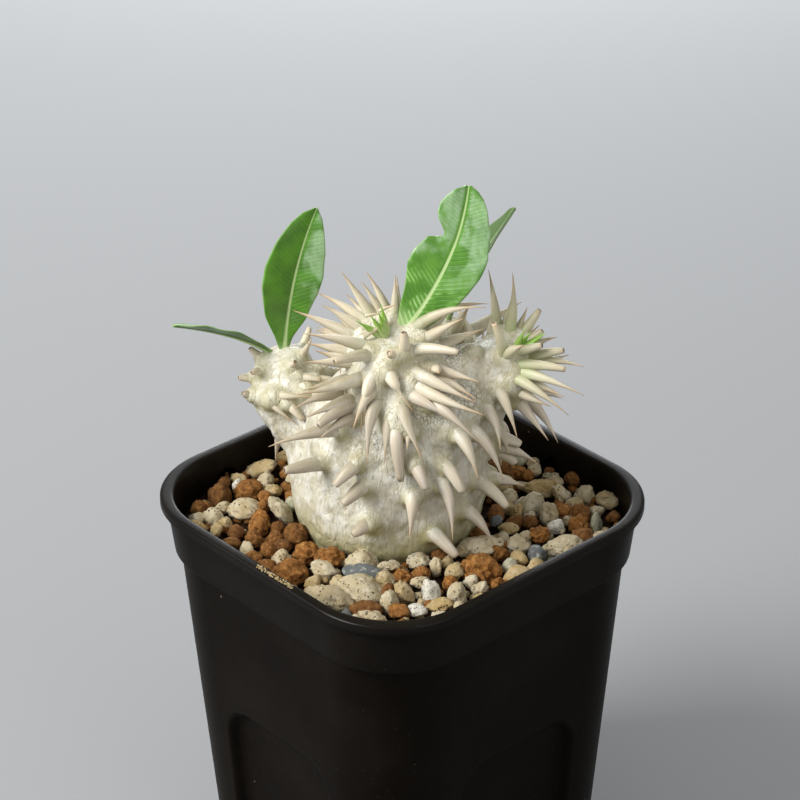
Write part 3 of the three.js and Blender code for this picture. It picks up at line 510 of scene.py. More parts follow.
def ring_spines(head, draws):
    heart, axis, count, inner, outer, head_length, stubs = head
    axis = unit(np.array(axis, float))
    spines = []
    for i in range(count):
        spread = ((i + 0.5) / count) ** 0.75
        tilt = math.radians(inner + (outer - inner) * spread)
        direction = tilted(axis, tilt, i * GOLDEN_ANGLE + draws.between(-0.15, 0.15))
        root = surface_point(heart, direction)
        lean = unit(surface_normal(root) * RING_SQUARE + direction * (1 - RING_SQUARE))
        length = head_length * draws.between(0.82, 1.12) * (1.1 - 0.2 * spread)
        stub = draws.next() < stubs
        reach = lean * length * (RING_STUB_REACH if stub else 1)
        reach[2] += length * draws.between(-0.25, 0.12) * spread
        base = SPINE_BASE * draws.between(0.8, 1.02)
        spines.append(Spine(root, lean, reach, length, base, stub, young=1 - spread))
    return spines


def body_root(azimuth, height):
    return surface_point((*BODY_AXIS, height), aim(azimuth, 90))


def tier_spines(tier, draws):
    height, count, low, high, tier_length, droop = tier
    spines = []
    for i in range(count):
        share = (i + draws.between(0.3, 0.7)) / count
        root = body_root(low + (high - low) * share, height + draws.between(-1.5, 1.5))
        lean = surface_normal(root)
        length = tier_length * draws.between(0.75, 1.15)
        stub = draws.next() < TIER_STUBS
        reach = lean * length * TIER_REACH
        reach[2] -= length * TIER_REACH * droop * draws.between(0.8, 1.2)
        reach = reach * (TIER_STUB_REACH if stub else 1)
        base = SPINE_BASE * draws.between(0.85, 1.1)
        spines.append(Spine(root, lean, reach, length, base, stub))
    return spines


def all_spines():
    draws = Draws(SEED)
    spines = []
    for heart, girth, rows in HEADS:
        spines += head_spines(heart, girth, rows)
    for azimuth, height, *tip in FRONT_SPINES:
        spines.append(spine_at(body_root(azimuth, height), 90, 1, 0, *tip))
    spines += ring_spines(REAR_HEAD, draws)
    for tier in TIERS:
        spines += tier_spines(tier, draws)
    return spines


SPINES = all_spines()

HORN_SIDES = 14
HORN_RINGS = 22
HORN_LUMPS = 0.13
HORN_LUMP_SCALE = (1.1, 1.1, 2.5)
# Share of the base radius against the share of the length, for a sharp horn, a broken one and
# one with a node and a thin needle
SHARP_PROFILE = (
    (0, 1.3), (0.12, 1.22), (0.25, 1.1), (0.4, 0.95), (0.52, 0.78), (0.62, 0.6), (0.72, 0.4),
    (0.82, 0.23), (0.91, 0.12), (1, 0.03),
)
STUB_PROFILE = (
    (0, 1.3), (0.15, 1.2), (0.35, 1.06), (0.6, 0.92), (0.8, 0.75), (0.93, 0.6), (1, 0.48),
)
NEEDLE_PROFILE = (
    (0, 1.3), (0.12, 1.22), (0.25, 1.12), (0.45, 0.95), (0.58, 0.68), (0.62, 0.45), (0.65, 0.18),
    (0.85, 0.14), (1, 0.04),
)


def horn_template(stub):
    """A straight unit horn: a closed cylinder cut in rings, with the broken end hollowed."""
    bm = bmesh.new()
    bmesh.ops.create_cone(bm, cap_ends=True, segments=HORN_SIDES, radius1=1, radius2=1, depth=1)
    bmesh.ops.translate(bm, verts=bm.verts, vec=(0, 0, 0.5))
    upright = [e for e in bm.edges if abs(e.verts[0].co.z - e.verts[1].co.z) > 0.5]
    bmesh.ops.subdivide_edges(bm, edges=upright, cuts=HORN_RINGS - 1, use_grid_fill=True)
    top = [f for f in bm.faces if f.normal.z > 0.9]
    if stub:
        bmesh.ops.inset_region(bm, faces=top, thickness=0.38, depth=0)
        bmesh.ops.inset_region(bm, faces=top, thickness=0.2, depth=-0.06)
    else:
        bmesh.ops.poke(bm, faces=top)
    return baked(bm, "horn_template")


def bent_horn(points, spine):
    """Unit horn points put on the curved line of one spine."""
    share = np.clip(points[:, 2], 0, 1)
    s = share[:, None]
    start = spine.root - spine.lean * min(SPINE_SINK, spine.base * 2)
    middle = spine.root + spine.lean * spine.length * 0.5
    middle = middle + (0, 0, max(-spine.reach[2], 0) * DROOP_ARCH)
    end = spine.root + spine.reach
    centre = start * (1 - s) ** 2 + middle * 2 * s * (1 - s) + end * s * s
    tangent = unit((middle - start) * (1 - s) + (end - middle) * s)
    across = unit(np.cross(unit(np.cross((0.31, 0.17, 0.93), spine.lean)), tangent))
    beside = np.cross(tangent, across)
    profile = STUB_PROFILE if spine.stub else NEEDLE_PROFILE if spine.needle else SHARP_PROFILE
    radius = spine.base * np.interp(share, *np.array(profile).T)
    spots = (points * HORN_LUMP_SCALE + spine.root).tolist()
    lumps = np.array([noise.noise(Vector(spot)) for spot in spots])
    radius = (radius * (1 + HORN_LUMPS * lumps * (1 - share)))[:, None]
    sunk = (points[:, 2] - share)[:, None] * spine.base * 6
    return centre + (across * points[:, :1] - beside * points[:, 1:2]) * radius + tangent * sunk


# Outlines of a leaf: share of its length, then its reach to the left and to the right
OVAL = (
    (0, 0.13, 0.13), (0.07, 0.15, 0.15), (0.16, 0.32, 0.28), (0.3, 0.72, 0.66), (0.48, 0.98, 0.94),
    (0.6, 1, 1), (0.75, 0.86, 0.86), (0.87, 0.6, 0.6), (0.95, 0.35, 0.35), (1, 0.05, 0.05),
)
NOTCHED = (
    (0, 1.2, 0.9), (0.04, 2.3, 1.6), (0.13, 4.3, 3.7), (0.23, 5.75, 5.5), (0.31, 7, 6.6),
    (0.37, 7.9, 7.2), (0.47, 7.8, 8), (0.535, 6.9, 8.1), (0.59, 6.3, 8), (0.605, 4.8, 7.7),
    (0.62, 3.1, 7.5), (0.66, 3, 7.2), (0.735, 5.1, 6.8), (0.79, 5.7, 5.7), (0.86, 5.6, 4.9),
    (0.925, 4.3, 3.6), (0.975, 2.7, 1.9), (1, 0.4, 0.4),
)
# Leaves: midrib, facing, cup, wave, outline, width, share of the right half
LEAVES = {
    "leaf_notched": (((0, -2.6, 48.2), (9.8, 2, 60), (13.9, 5.3, 69), (15.2, 9, 79.3)),
                     (0, -0.87, 0.5), 0.1, 0.35, NOTCHED, 1, 1),
    "leaf_left": (((-26.6, 18, 31.8), (-25.8, 19, 43), (-23.5, 21.5, 55.5), (-18.5, 25.5, 66.2)),
                  (0.25, -0.87, 0.4), 0.25, 0.2, OVAL, 7.5, 0.82),
    "leaf_side": (((-28, 18.8, 32), (-34.5, 17.2, 38.6), (-44, 15, 41.5), (-50.9, 12.6, 43.6)),
                  (0, 0.42, 0.9), 0.15, 0.2, OVAL, 4.8, 1),
    "leaf_rear": (((10.4, 15.9, 41.4), (13, 15, 51), (20, 14, 62), (25.5, 15, 70.9)),
                  (-0.85, 0, 0.45), 0.2, 0.2, OVAL, 5.6, 1),
}
LEAF_COLUMNS = 30
LEAF_ROWS = 110
PETIOLE = 1.5
BLADE = 0.55
VEIN_SPACING = 1.05
VEIN_SLANT = 0.62


def soft_read(rows, share, column):
    """An outline read at each share, with rounded corners between its rows."""
    table = np.array(rows)
    fine = np.linspace(0, 1, 241)
    values = np.interp(fine, table[:, 0], table[:, column])
    kernel = np.hanning(9)
    padded = np.pad(values, 4, mode="edge")
    values = np.convolve(padded, kernel / kernel.sum(), mode="valid")
    return np.interp(share, fine, values)


def leaf_surface(points, midrib, facing, cup, wave, outline, width, right_share):
    """Grid points from -1 to 1 laid on a leaf, with the way across, along and the thickness."""
    across_share = points[:, 0]
    share = (points[:, 1] + 1) / 2
    s = share[:, None]
    p0, p1, p2, p3 = np.array(midrib, float)
    centre = p0 * (1 - s) ** 3 + p1 * 3 * s * (1 - s) ** 2 + p2 * 3 * s * s * (1 - s) + p3 * s ** 3
    tangent = unit((p1 - p0) * (1 - s) ** 2 + (p2 - p1) * 2 * s * (1 - s) + (p3 - p2) * s * s)
    across = unit(np.cross(tangent, np.array(facing, float)))
    normal = np.cross(across, tangent)
    left, right = (soft_read(outline, share, column) * width for column in (1, 2))
    reach = np.where(across_share < 0, left, right * right_share)
    out = np.abs(across_share) * reach
    ripple = wave * np.sin(22 * share + 2 * across_share) * across_share ** 2
    lift = cup * out * np.minimum(share * 3, 1) + ripple * np.minimum(share * 4, 1)
    length = np.linalg.norm(p3 - p0) * 1.03
    quilt = np.abs(np.sin(math.pi * (share * length - VEIN_SLANT * out) / VEIN_SPACING)) ** 0.6
    blade_share = smooth_step(0.05, 0.2, share)
    lift += 0.09 * quilt * blade_share * smooth_step(0.4, 1.2, out) * (1 - across_share ** 4)
    lift -= 0.28 * blade_share * np.exp(-(out / 0.45) ** 2) * (1 - 0.7 * share)
    thick = PETIOLE + (BLADE - PETIOLE) * np.minimum(share / 0.14, 1)
    thick = thick * (1 - 0.55 * np.abs(across_share) ** 6)
    thick += 0.5 * np.exp(-(out / 0.6) ** 2) * (1 - 0.8 * share)
    placed = centre + across * (across_share * reach)[:, None] + normal * lift[:, None]
    return placed, across_share * reach, share * length, thick


# Buds: knob, axis, count and length of the young blades
BUDS = {
    "bud_centre": ((-2.7, -2.5, 47.9), (-0.4, -0.3, 1), 5, 7),
    "bud_right": ((24.8, 1.7, 41), (0.66, -0.12, 0.74), 6, 7),
}
KNOB = 1.5
BUD_BASE = 0.95
BUD_TILT = 0.14
BUD_SPREAD = 0.42
BUD_RISE = 0.12


# Gravel. The grains that show at the front lie one by one: how far to the right and away
# from the pot's middle, then width and height as seen from the front, slope in degrees, kind.
PLACED_GRAINS = (
    (-15.5, -33, 11, 5, -27, "pumice"), (-9, -29, 10.3, 6.6, -5, "pumice"),
    (-8.5, -22, 8.5, 2.8, -3, "slate"), (-9, -18, 6.8, 6, 0, "pumice"),
    (-25, -22, 7.5, 6.4, 0, "clay"), (-21.5, -14, 6, 5.2, 0, "clay"),
    (-16, -16.5, 6.6, 5.6, -10, "clay"), (-17, -21.5, 6.5, 4.2, -25, "pumice"),
    (-24, -6.5, 5.8, 6.2, 0, "ball"), (-28.5, -8, 3.6, 3.6, 0, "ball"),
    (-33.5, -8, 4, 4.6, 0, "ball"), (-30, -13, 3.6, 4.6, 0, "ball"),
    (-27, -17, 4, 5.6, -30, "pumice"), (-43, 1, 4.3, 5, 20, "pumice"),
    (-27.5, 4, 7.7, 4.1, -55, "pumice"), (-36, 5, 7.6, 4.6, 0, "pumice"),
    (-32.5, -3.5, 5.2, 4.4, 0, "clay"), (-30, 13, 4.4, 3.2, 0, "tan"),
    (-42, 11, 5.4, 6.8, 0, "ball"), (-42, 21, 4.8, 4.4, 0, "ball"), (-46.5, 5, 3.8, 4.6, 0, "ball"),
    (-35, 13, 7, 5.2, 0, "clay"), (-33, 23, 8, 4.4, 15, "tan"), (-38, 15, 2.6, 3.6, 0, "granite"),
    (-46, -2.5, 4.2, 2.2, -30, "tan"), (-37.5, -5.5, 3.6, 4, 0, "ball"),
    (-40, -1, 3, 2.6, 0, "tan"), (-8, -37, 7, 3.5, 0, "ball"), (-6.5, -40, 6, 3, -10, "pumice"),
    (-3, -34.5, 4, 6.4, 0, "pumice"), (0.5, -31, 7, 3.3, -62, "tan"),
    (-3, -20, 4.6, 2.8, 0, "pumice"), (-14, -26, 4.6, 3.4, 25, "tan"),
    (0, -24, 4.8, 3.6, 0, "clay"), (4, -23, 4, 3.4, 0, "clay"), (3.5, -18, 5.6, 3.6, 5, "pumice"),
    (7.5, -20, 3, 4, 0, "pumice"), (6.3, -30, 4.4, 6.8, 0, "granite"),
    (12, -32, 4.2, 6.8, 0, "pumice"), (11.5, -22, 4.4, 4.2, 0, "tan"),
    (17.5, -21, 8.4, 7.2, -15, "clay"), (18, -11.5, 9.4, 4.2, 5, "pumice"),
    (30, -16, 4.4, 4.8, 0, "slate"), (36.5, -12.5, 9, 4.8, 5, "pumice"),
    (35, -4, 3.8, 3.8, 0, "granite"), (40, -3, 4.4, 4.6, 0, "clay"), (31, -7, 4.4, 3.8, 0, "clay"),
    (21, -28, 3.2, 3.6, 0, "clay"), (44, -2, 2.8, 5.4, 0, "green"), (48, 8, 6, 5, -10, "tan"),
    (42, 10, 4.8, 4.8, 0, "pumice"), (37, 9.5, 6, 3.8, -50, "pumice"),
    (26, -11, 5, 4.6, 10, "pumice"), (33.5, 2, 4, 5.4, 0, "pumice"),
    (17, -29.5, 4, 2.8, 30, "pumice"), (37.5, 26, 4.6, 5, 20, "tan"), (40, 17, 4.2, 3.4, 0, "ball"),
    (29, -2, 3.8, 3, 0, "ball"), (24, -5, 4.4, 2.6, 0, "tan"), (26, 2, 4, 2.8, 60, "tan"),
    (32, 13, 8, 4, 0, "tan"), (24, -20, 3.4, 3, 0, "green"), (3, -38, 4.4, 3, 0, "granite"),
    (8, -36, 6, 2.8, 8, "tan"),
)
# The others are thrown between them: count, smallest and largest radius
GRAIN_SIZES = ((20, 2.6, 3.6), (110, 1.5, 2.3))
GRAIN_TRIES = 250
GRAIN_TOUCH = 0.84
GRAIN_CLEARANCE = 0.75
GRAIN_RISE = 0.6
THROWN_TIP = 0.15
VIEW_SLOPE = math.radians(29.7)
# Finest balls for the placed grains, coarser for the thrown ones and the crumbs
PLACED_DETAIL, THROWN_DETAIL, CRUMB_DETAIL = 4, 3, 2
# A grain: its middle, half sizes, tip and turn, the fineness of its ball, its kind where it is set
Grain = namedtuple("Grain", "x y z half tip turn detail kind", defaults=(None,))


def inside_ring(x, y, half):
    corner = half * CORNER_SHARE
    dx = max(abs(x) - (half - corner), 0)
    dy = max(abs(y) - (half - corner), 0)
    return math.hypot(dx, dy) < corner and abs(x) < half and abs(y) < half


def to_plant(x, y, z):
    """A point of the pot's axes in the plant's own."""
    turned = Matrix.Rotation(-PLANT_TURN, 2) @ Vector((x, y))
    return np.array((turned.x, turned.y, z - GRAVEL_LEVEL))


def placed_grain(right, away, width, height, slope, kind):
    """A grain from its place and its seen size, which splits into depth and rise."""
    spot = Matrix.Rotation(PLANT_TURN, 2) @ Vector((right, away))
    depth = (width + height) / 4
    rest = (height / 2) ** 2 - (depth * math.sin(VIEW_SLOPE)) ** 2
    rise = max(math.sqrt(max(rest, 0)) / math.cos(VIEW_SLOPE), depth * GRAIN_RISE)
    level = GRAVEL_LEVEL + GRAIN_RISE - rise * (1 - GRAIN_RISE)
    return Grain(spot.x, spot.y, level, (width / 2, depth, rise), math.radians(slope),
                 PLANT_TURN, PLACED_DETAIL, kind)


def thrown_grains():
    """The grains of the solid model, placed and thrown by the same rows and draws."""
    draws = Draws(SEED + 1)
    grains = [placed_grain(*row) for row in PLACED_GRAINS]
    room = inner_half(GRAVEL_LEVEL) - GAP
    for radii in [(low, high) for count, low, high in GRAIN_SIZES for _ in range(count)]:
        radius = draws.between(*radii)
        long = draws.between(1, 1.3)
        flat = draws.between(0.72, 0.95)
        turn = draws.between(0, math.pi)
        half = (radius * long, radius / long, radius * flat)
        for _ in range(GRAIN_TRIES):
            x = draws.between(-room, room)
            y = draws.between(-room, room)
            z = GRAVEL_LEVEL - 0.25 * radius + draws.between(-0.6, 0.6)
            free = all(math.hypot(g.x - x, g.y - y) > GRAIN_TOUCH * (g.half[1] + radius)
                       for g in grains)
            clear = free and caudex_field(to_plant(x, y, z))[0] > GRAIN_CLEARANCE * radius
            if clear and inside_ring(x, y, room - radius):
                grains.append(Grain(x, y, z, half, turn * THROWN_TIP, turn, THROWN_DETAIL))
                break
    return grains


# Shaders

# Darkest and palest marks, the same whatever the colours of the panel, as linear values
CUT_BROWN = (0.055, 0.024, 0.01)
# Painted shade in the hollows and the pores of the pumice
PUMICE_HOLLOW_SHADE = (0.3, 0.23, 0.13)
PORE_SHADE = (0.09, 0.06, 0.03)
# Painted shade in the dents of the clay
CLAY_HOLLOW_SHADE = (0.06, 0.026, 0.008)
STONE_HOLLOW = (0.07, 0.065, 0.05)
STONE_SPECK = (0.04, 0.035, 0.03)
# Painted shade in the dents of the soil
SOIL_DENT_SHADE = (0.012, 0.006, 0.003)
SCUFF_GREY = (0.1, 0.095, 0.085)
DUST_GREY = (0.2, 0.19, 0.17)
SPECK_CREAM = (0.3, 0.27, 0.2)
# Heights between which the collar takes on its gloss
GLOSS_RISE = (POT_HEIGHT - 17, POT_HEIGHT - 12)


class Signal:
    """A shader socket. Arithmetic on it adds the Math nodes that it needs."""

    def __init__(self, shade, socket):
        self.shade = shade
        self.socket = socket

    def math(self, operation, *values):
        return self.shade.node("ShaderNodeMath", {"operation": operation}, dict(enumerate(values)))

    def __add__(self, other):
        return self.math("ADD", self, other)

    def __sub__(self, other):
        return self.math("SUBTRACT", self, other)

    def __rsub__(self, other):
        return self.math("SUBTRACT", other, self)

    def __mul__(self, other):
        return self.math("MULTIPLY", self, other)

    def __abs__(self):
        return self.math("ABSOLUTE", self)

    __radd__ = __add__
    __rmul__ = __mul__

    def zigzag(self):
        """From 1 at whole numbers down to 0 halfway between them."""
        return abs(self.math("FRACT", self) - 0.5) * 2

    def step(self, low, high):
        """0 below low and 1 above high, smooth between; the other way round if low is larger."""
        start, end = (0.0, 1.0) if low <= high else (1.0, 0.0)
        inputs = {0: self, 1: min(low, high), 2: max(low, high), 3: start, 4: end}
        return self.shade.node("ShaderNodeMapRange", {"interpolation_type": "SMOOTHSTEP"}, inputs)


class Shade:
    """A material under construction. node() makes any node and gives back one of its outputs."""

    def __init__(self, name, **constants):
        self.material = bpy.data.materials.new(name)
        self.material.use_nodes = True
        self.tree = self.material.node_tree
        self.surface = self.tree.nodes["Principled BSDF"]
        for socket, value in constants.items():
            self.surface.inputs[socket.replace("_", " ")].default_value = value

    def node(self, kind, settings=None, inputs=None, output=0):
        made = self.tree.nodes.new(kind)
        for name, value in (settings or {}).items():
            setattr(made, name, value)
        for key, value in (inputs or {}).items():
            if isinstance(value, Signal):
                self.tree.links.new(value.socket, made.inputs[key])
            else:
                made.inputs[key].default_value = value
        return Signal(self, made.outputs[output])

    def vector(self, operation, first, second):
        return self.node("ShaderNodeVectorMath", {"operation": operation}, {0: first, 1: second})

    def place(self, stretch=(1, 1, 1)):
        """Object coordinates in millimetres, stretched along each axis."""
        coordinates = self.node("ShaderNodeTexCoord", output="Object")
        return self.vector("MULTIPLY", coordinates, tuple(part / MM for part in stretch))

    def attribute(self, name, output="Fac"):
        return self.node("ShaderNodeAttribute", {"attribute_name": name}, output=output)

    def noise(self, place, scale, detail=2.0, roughness=0.5, output=0):
        inputs = {"Vector": place, "Scale": scale, "Detail": detail, "Roughness": roughness}
        return self.node("ShaderNodeTexNoise", inputs=inputs, output=output)

    def warped(self, place, scale, amount):
        """A place pushed about by a noise, so that a pattern loses its even look."""
        push = self.vector("SUBTRACT", self.noise(place, scale, 1.0, output=1), (0.5, 0.5, 0.5))
        return self.vector("ADD", place, self.vector("MULTIPLY", push, (amount, amount, amount)))

    def cells(self, place, scale, feature="F1", output=0):
        inputs = {"Vector": place, "Scale": scale}
        return self.node("ShaderNodeTexVoronoi", {"feature": feature}, inputs, output)

    def mix(self, factor, first, second):
        """Colour mixed from first to second."""
        first, second = (c if isinstance(c, Signal) else (*c, 1) for c in (first, second))
        inputs = {0: factor, 6: first, 7: second}
        return self.node("ShaderNodeMix", {"data_type": "RGBA"}, inputs, 2)

    def coats(self, colour, *coats):
        """A colour under coats, each the share that it covers and its own colour."""
        for share, coat in coats:
            colour = self.mix(share, colour, coat)
        return colour

    def feed(self, socket, signal):
        self.tree.links.new(signal.socket, self.surface.inputs[socket])

    def finish(self, colour, roughness, height=None, depth=0.2):
        """Links colour, roughness and a relief of the given depth in millimetres."""
        self.feed("Base Color", colour)
        self.feed("Roughness", roughness)
        if height is not None:
            inputs = {"Height": height, "Distance": depth * MM, "Strength": 1.0}
            self.feed("Normal", self.node("ShaderNodeBump", inputs=inputs))
        return self.material


def bark_layers(shade, look, moss, net_here):
    """Colour and height of papery bark: blots, short dashes, a net of cracks in places, mossy green
    with painted shade.
    """
    place = shade.place()
    lower = shade.place((1, 1, 0.7))
    dash_place = shade.warped(shade.place((1, 1, 0.35)), 0.5, 1.0)
    streak_place = shade.warped(shade.place((1, 1, 0.22)), 0.25, 2.0)
    broad = shade.noise(place, 0.12, 3.0)
    blots = shade.noise(shade.warped(lower, 0.6, 1.6), 0.42, 3.0)
    flecks = shade.noise(shade.warped(place, 0.8, 0.8), 1.5, 3.0, 0.6)
    fine = shade.noise(shade.warped(place, 0.5, 1.2), 2.2, 4.0, 0.6)
    dashes = shade.noise(dash_place, 1.5).step(0.6, 0.72)
    streaks = abs(shade.noise(streak_place, 0.5) - 0.5).step(0.06, 0.0)
    cracks = shade.cells(shade.warped(lower, 0.5, 1.0), 1.0, "DISTANCE_TO_EDGE")
    net = cracks.step(0.13, 0.01) * net_here
    colour = shade.coats(
        look.bark_pale,
        (broad.step(0.4, 0.66), look.bark_grey),
        (blots.step(0.44, 0.6) * 0.6 + flecks.step(0.52, 0.68) * 0.35, look.bark_white),
        (streaks * 0.14 + dashes * 0.26, look.bark_crack_and_shade),
        (net * 0.75, look.bark_crack_and_shade),
        # Mossy green low on the bark, together with painted shade on faces that turn down and round
        # the horn feet
        ((moss * (0.5 + fine)).step(0.2, 1.1), look.moss),
    )
    raised = fine * 0.16 + flecks * 0.4 + blots * 0.5
    return colour, raised - dashes * 0.3 - net * 0.6 - streaks * 0.25, fine


def bark_material(look):
    shade = Shade("papery_bark", Specular_IOR_Level=0.6)
    moss, net_here = shade.attribute("moss"), shade.attribute("net")
    colour, height, fine = bark_layers(shade, look, moss, net_here)
    return shade.finish(colour, 0.3 + fine * 0.25, height, 0.28)


def horn_material(look):
    """Smooth horn: bark at the foot, cream and pinkish grey, with a golden brown point."""
    shade = Shade("pale_horn", Specular_IOR_Level=0.5)
    along, tint, green = (shade.attribute(name) for name in ("along", "tint", "green"))
    fibre = shade.attribute("fibre", "Vector")
    grain = shade.noise(fibre, 2.2, 4.0, 0.6)
    streak = shade.noise(shade.vector("MULTIPLY", fibre, (1, 1, 0.3)), 1.6, 3.0)
    stain = shade.noise(shade.place(), 0.45, 3.0)
    # Bark at the horn's foot; its mossy colour near the skin is painted shade where the horn leaves
    # the bark
    bark, height, _ = bark_layers(shade, look, 0.4 - along, 0.0)
    foot_share = along.step(0.5, 0.2)
    point = along + (grain - 0.5) * 0.12 - tint * 0.12
    shaft = shade.coats(
        look.horn_cream,
        (tint, look.horn_grey),
        (streak.step(0.45, 0.7) * 0.45, look.bark_white),
        (stain.step(0.55, 0.8) * 0.25, look.horn_gold),
        (streak.step(0.52, 0.36) * 0.3, look.bark_grey),
    )
    colour = shade.coats(
        shaft,
        (foot_share, shade.mix(green, bark, look.horn_green)),
        (green * along.step(0.95, 0.3) * 0.5, look.horn_green),
        (point.step(0.62, 0.9) * 0.75, look.horn_gold),
        (point.step(0.86, 1.02) * 0.8, look.horn_brown),
        # Painted shade on the undersides of the horns
        (shade.attribute("under") * (0.2 + stain * 0.6), look.bark_crack_and_shade),
        (shade.attribute("cut"), CUT_BROWN),
    )
    return shade.finish(colour, 0.36 + grain * 0.22, grain * 0.45 + height * foot_share * 0.6, 0.16)


def leaf_material(look):
    """Glossy leaf: pale midrib, fine slanting side veins with the blade quilted between them."""
    shade = Shade("leaf_green", Specular_IOR_Level=0.5)
    along, share, edge = (shade.attribute(name) for name in ("along", "share", "edge"))
    across = abs(shade.attribute("across"))
    mottle = shade.noise(shade.place(), 0.25, 3.0)
    small = shade.noise(shade.place(), 1.3, 3.0)
    phase = (along - across * VEIN_SLANT) * (1 / VEIN_SPACING) + (small - 0.5) * 0.25
    vein = phase.zigzag().step(0.72, 1.0) * across.step(0.2, 0.7) * edge.step(1.0, 0.75)
    rib = (across + share * 0.42).step(0.78, 0.42)
    patch = shade.noise(shade.warped(shade.place(), 0.3, 2.0), 0.16).step(0.42, 0.6)
    streak = shade.noise(shade.place((1, 1, 0.6)), 0.9).step(0.35, 0.65)
    sheen = shade.attribute("sheen") * (0.35 + patch * 0.9) * (0.7 + streak * 0.3)
    sheen = sheen * across.step(0.3, 1.2) * (0.1 + share.step(0.15, 0.6) * 0.9)
    quilt = (phase + 0.5).zigzag().step(0.35, 0.9) * share.step(0.5, 0.15)
    glare = quilt * shade.attribute("quilt") * mottle.step(0.42, 0.6) * 0.8
    colour = shade.coats(
        look.leaf_deep,
        (mottle.step(0.3, 0.7), look.leaf_bright),
        (sheen.step(0.1, 1.0) * (0.8 - vein * 0.25), look.leaf_sheen),
        (vein * 0.13, look.leaf_vein),
        (glare, look.leaf_glare),
        (shade.attribute("dusk"), look.leaf_dusk),
        (rib * 0.85, look.leaf_rib),
        (edge.step(0.95, 1.0) * 0.25, look.leaf_vein),
        (share.step(0.16, 0.02) * 0.7, look.leaf_rib),
    )
    return shade.finish(colour, 0.26 + small * 0.16, mottle * 0.3 - vein * 0.6, 0.07)


def bud_material(look):
    shade = Shade("bud_green", Specular_IOR_Level=0.4)
    streak = shade.noise(shade.attribute("fibre", "Vector"), 2.0, 3.0)
    colour = shade.coats(
        look.horn_green,
        (shade.attribute("along").step(0.1, 0.7), look.bud_green),
        (streak.step(0.48, 0.62) * 0.6, look.leaf_rib),
    )
    return shade.finish(colour, 0.4 + streak * 0.1, streak, 0.05)


def pumice_material(look):
    """Cream pumice: chalky, speckled with small pores darkened as painted shade, painted shade in
    its hollows and painted light on raised parts.
    """
    shade = Shade("pumice", Specular_IOR_Level=0.2)
    place = shade.place()
    tint = shade.attribute("tint")
    broad = shade.noise(place, 0.4, 4.0, 0.6)
    fine = shade.noise(place, 1.7, 6.0, 0.72)
    pore = shade.cells(shade.warped(place, 1.1, 0.7), 1.15).step(0.3, 0.14)
    pore = pore * shade.noise(place, 0.7, 1.0).step(0.42, 0.6)
    colour = shade.coats(
        look.pumice_cream,
        (tint, look.pumice_tan),
        # Chalky patches with painted light on raised parts, then painted shade in the hollows and
        # the pores
        (broad.step(0.4, 0.75) * (0.75 - tint * 0.5), look.pumice_chalk_and_highlight),
        (fine.step(0.55, 0.72) * 0.6, PUMICE_HOLLOW_SHADE),
        (fine.step(0.42, 0.3) * 0.5, look.pumice_chalk_and_highlight),
        (pore * 0.9, PORE_SHADE),
    )
    return shade.finish(colour, 0.8 + fine * 0.15, broad * 0.5 - fine * 0.8 - pore * 1.1, 0.85)


def clay_material(look):
    """Fired clay: crumbly orange brown lumps and dark brown balls, with painted highlights on the
    crumbs and painted shade in the dents.
    """
    shade = Shade("fired_clay", Specular_IOR_Level=0.15)
    place = shade.place()
    tint = shade.attribute("tint")
    crumb = shade.noise(place, 1.15, 6.0, 0.78)
    colour = shade.coats(
        look.clay_orange,
        (tint, look.clay_brown),
        (shade.noise(place, 0.35, 3.0).step(0.4, 0.7) * 0.4, look.clay_brown),
        # Painted highlight on the raised crumbs, painted shade in the dents between them
        (crumb.step(0.52, 0.66) * (0.85 - tint * 0.6), look.clay_crumb_and_highlight),
        (crumb.step(0.5, 0.36) * 0.85, CLAY_HOLLOW_SHADE),
    )
    return shade.finish(colour, 0.85 + crumb * 0.1, crumb, 1.0)


def stone_material(look):
    """Small stones: blue grey, grey green, and white speckled with black."""
    shade = Shade("small_stone", Specular_IOR_Level=0.3)
    place = shade.place()
    tint = shade.attribute("tint")
    fine = shade.noise(place, 2.0, 4.0, 0.7)
    speckle = shade.cells(shade.warped(place, 1.5, 0.5), 1.6).step(0.3, 0.16)
    colour = shade.coats(
        look.stone_slate,
        (tint.step(0.2, 0.5), look.stone_green),
        (tint.step(0.6, 0.85), look.stone_white),
        (fine.step(0.5, 0.7) * 0.5, STONE_HOLLOW),
        (shade.noise(place, 0.9, 3.0).step(0.52, 0.7) * 0.5, look.stone_white),
        (speckle * tint.step(0.3, 0.9) * 0.9, STONE_SPECK),
    )
    return shade.finish(colour, 0.65 + fine * 0.2, fine, 0.3)


def soil_material(look):
    shade = Shade("dark_soil", Specular_IOR_Level=0.1)
    crumb = shade.noise(shade.place(), 1.2, 6.0, 0.75)
    # Darker in the dents of the crumb: painted shade
    colour = shade.mix(crumb.step(0.35, 0.7), SOIL_DENT_SHADE, look.soil_brown)
    return shade.finish(colour, 0.9 + crumb * 0.05, crumb, 0.8)


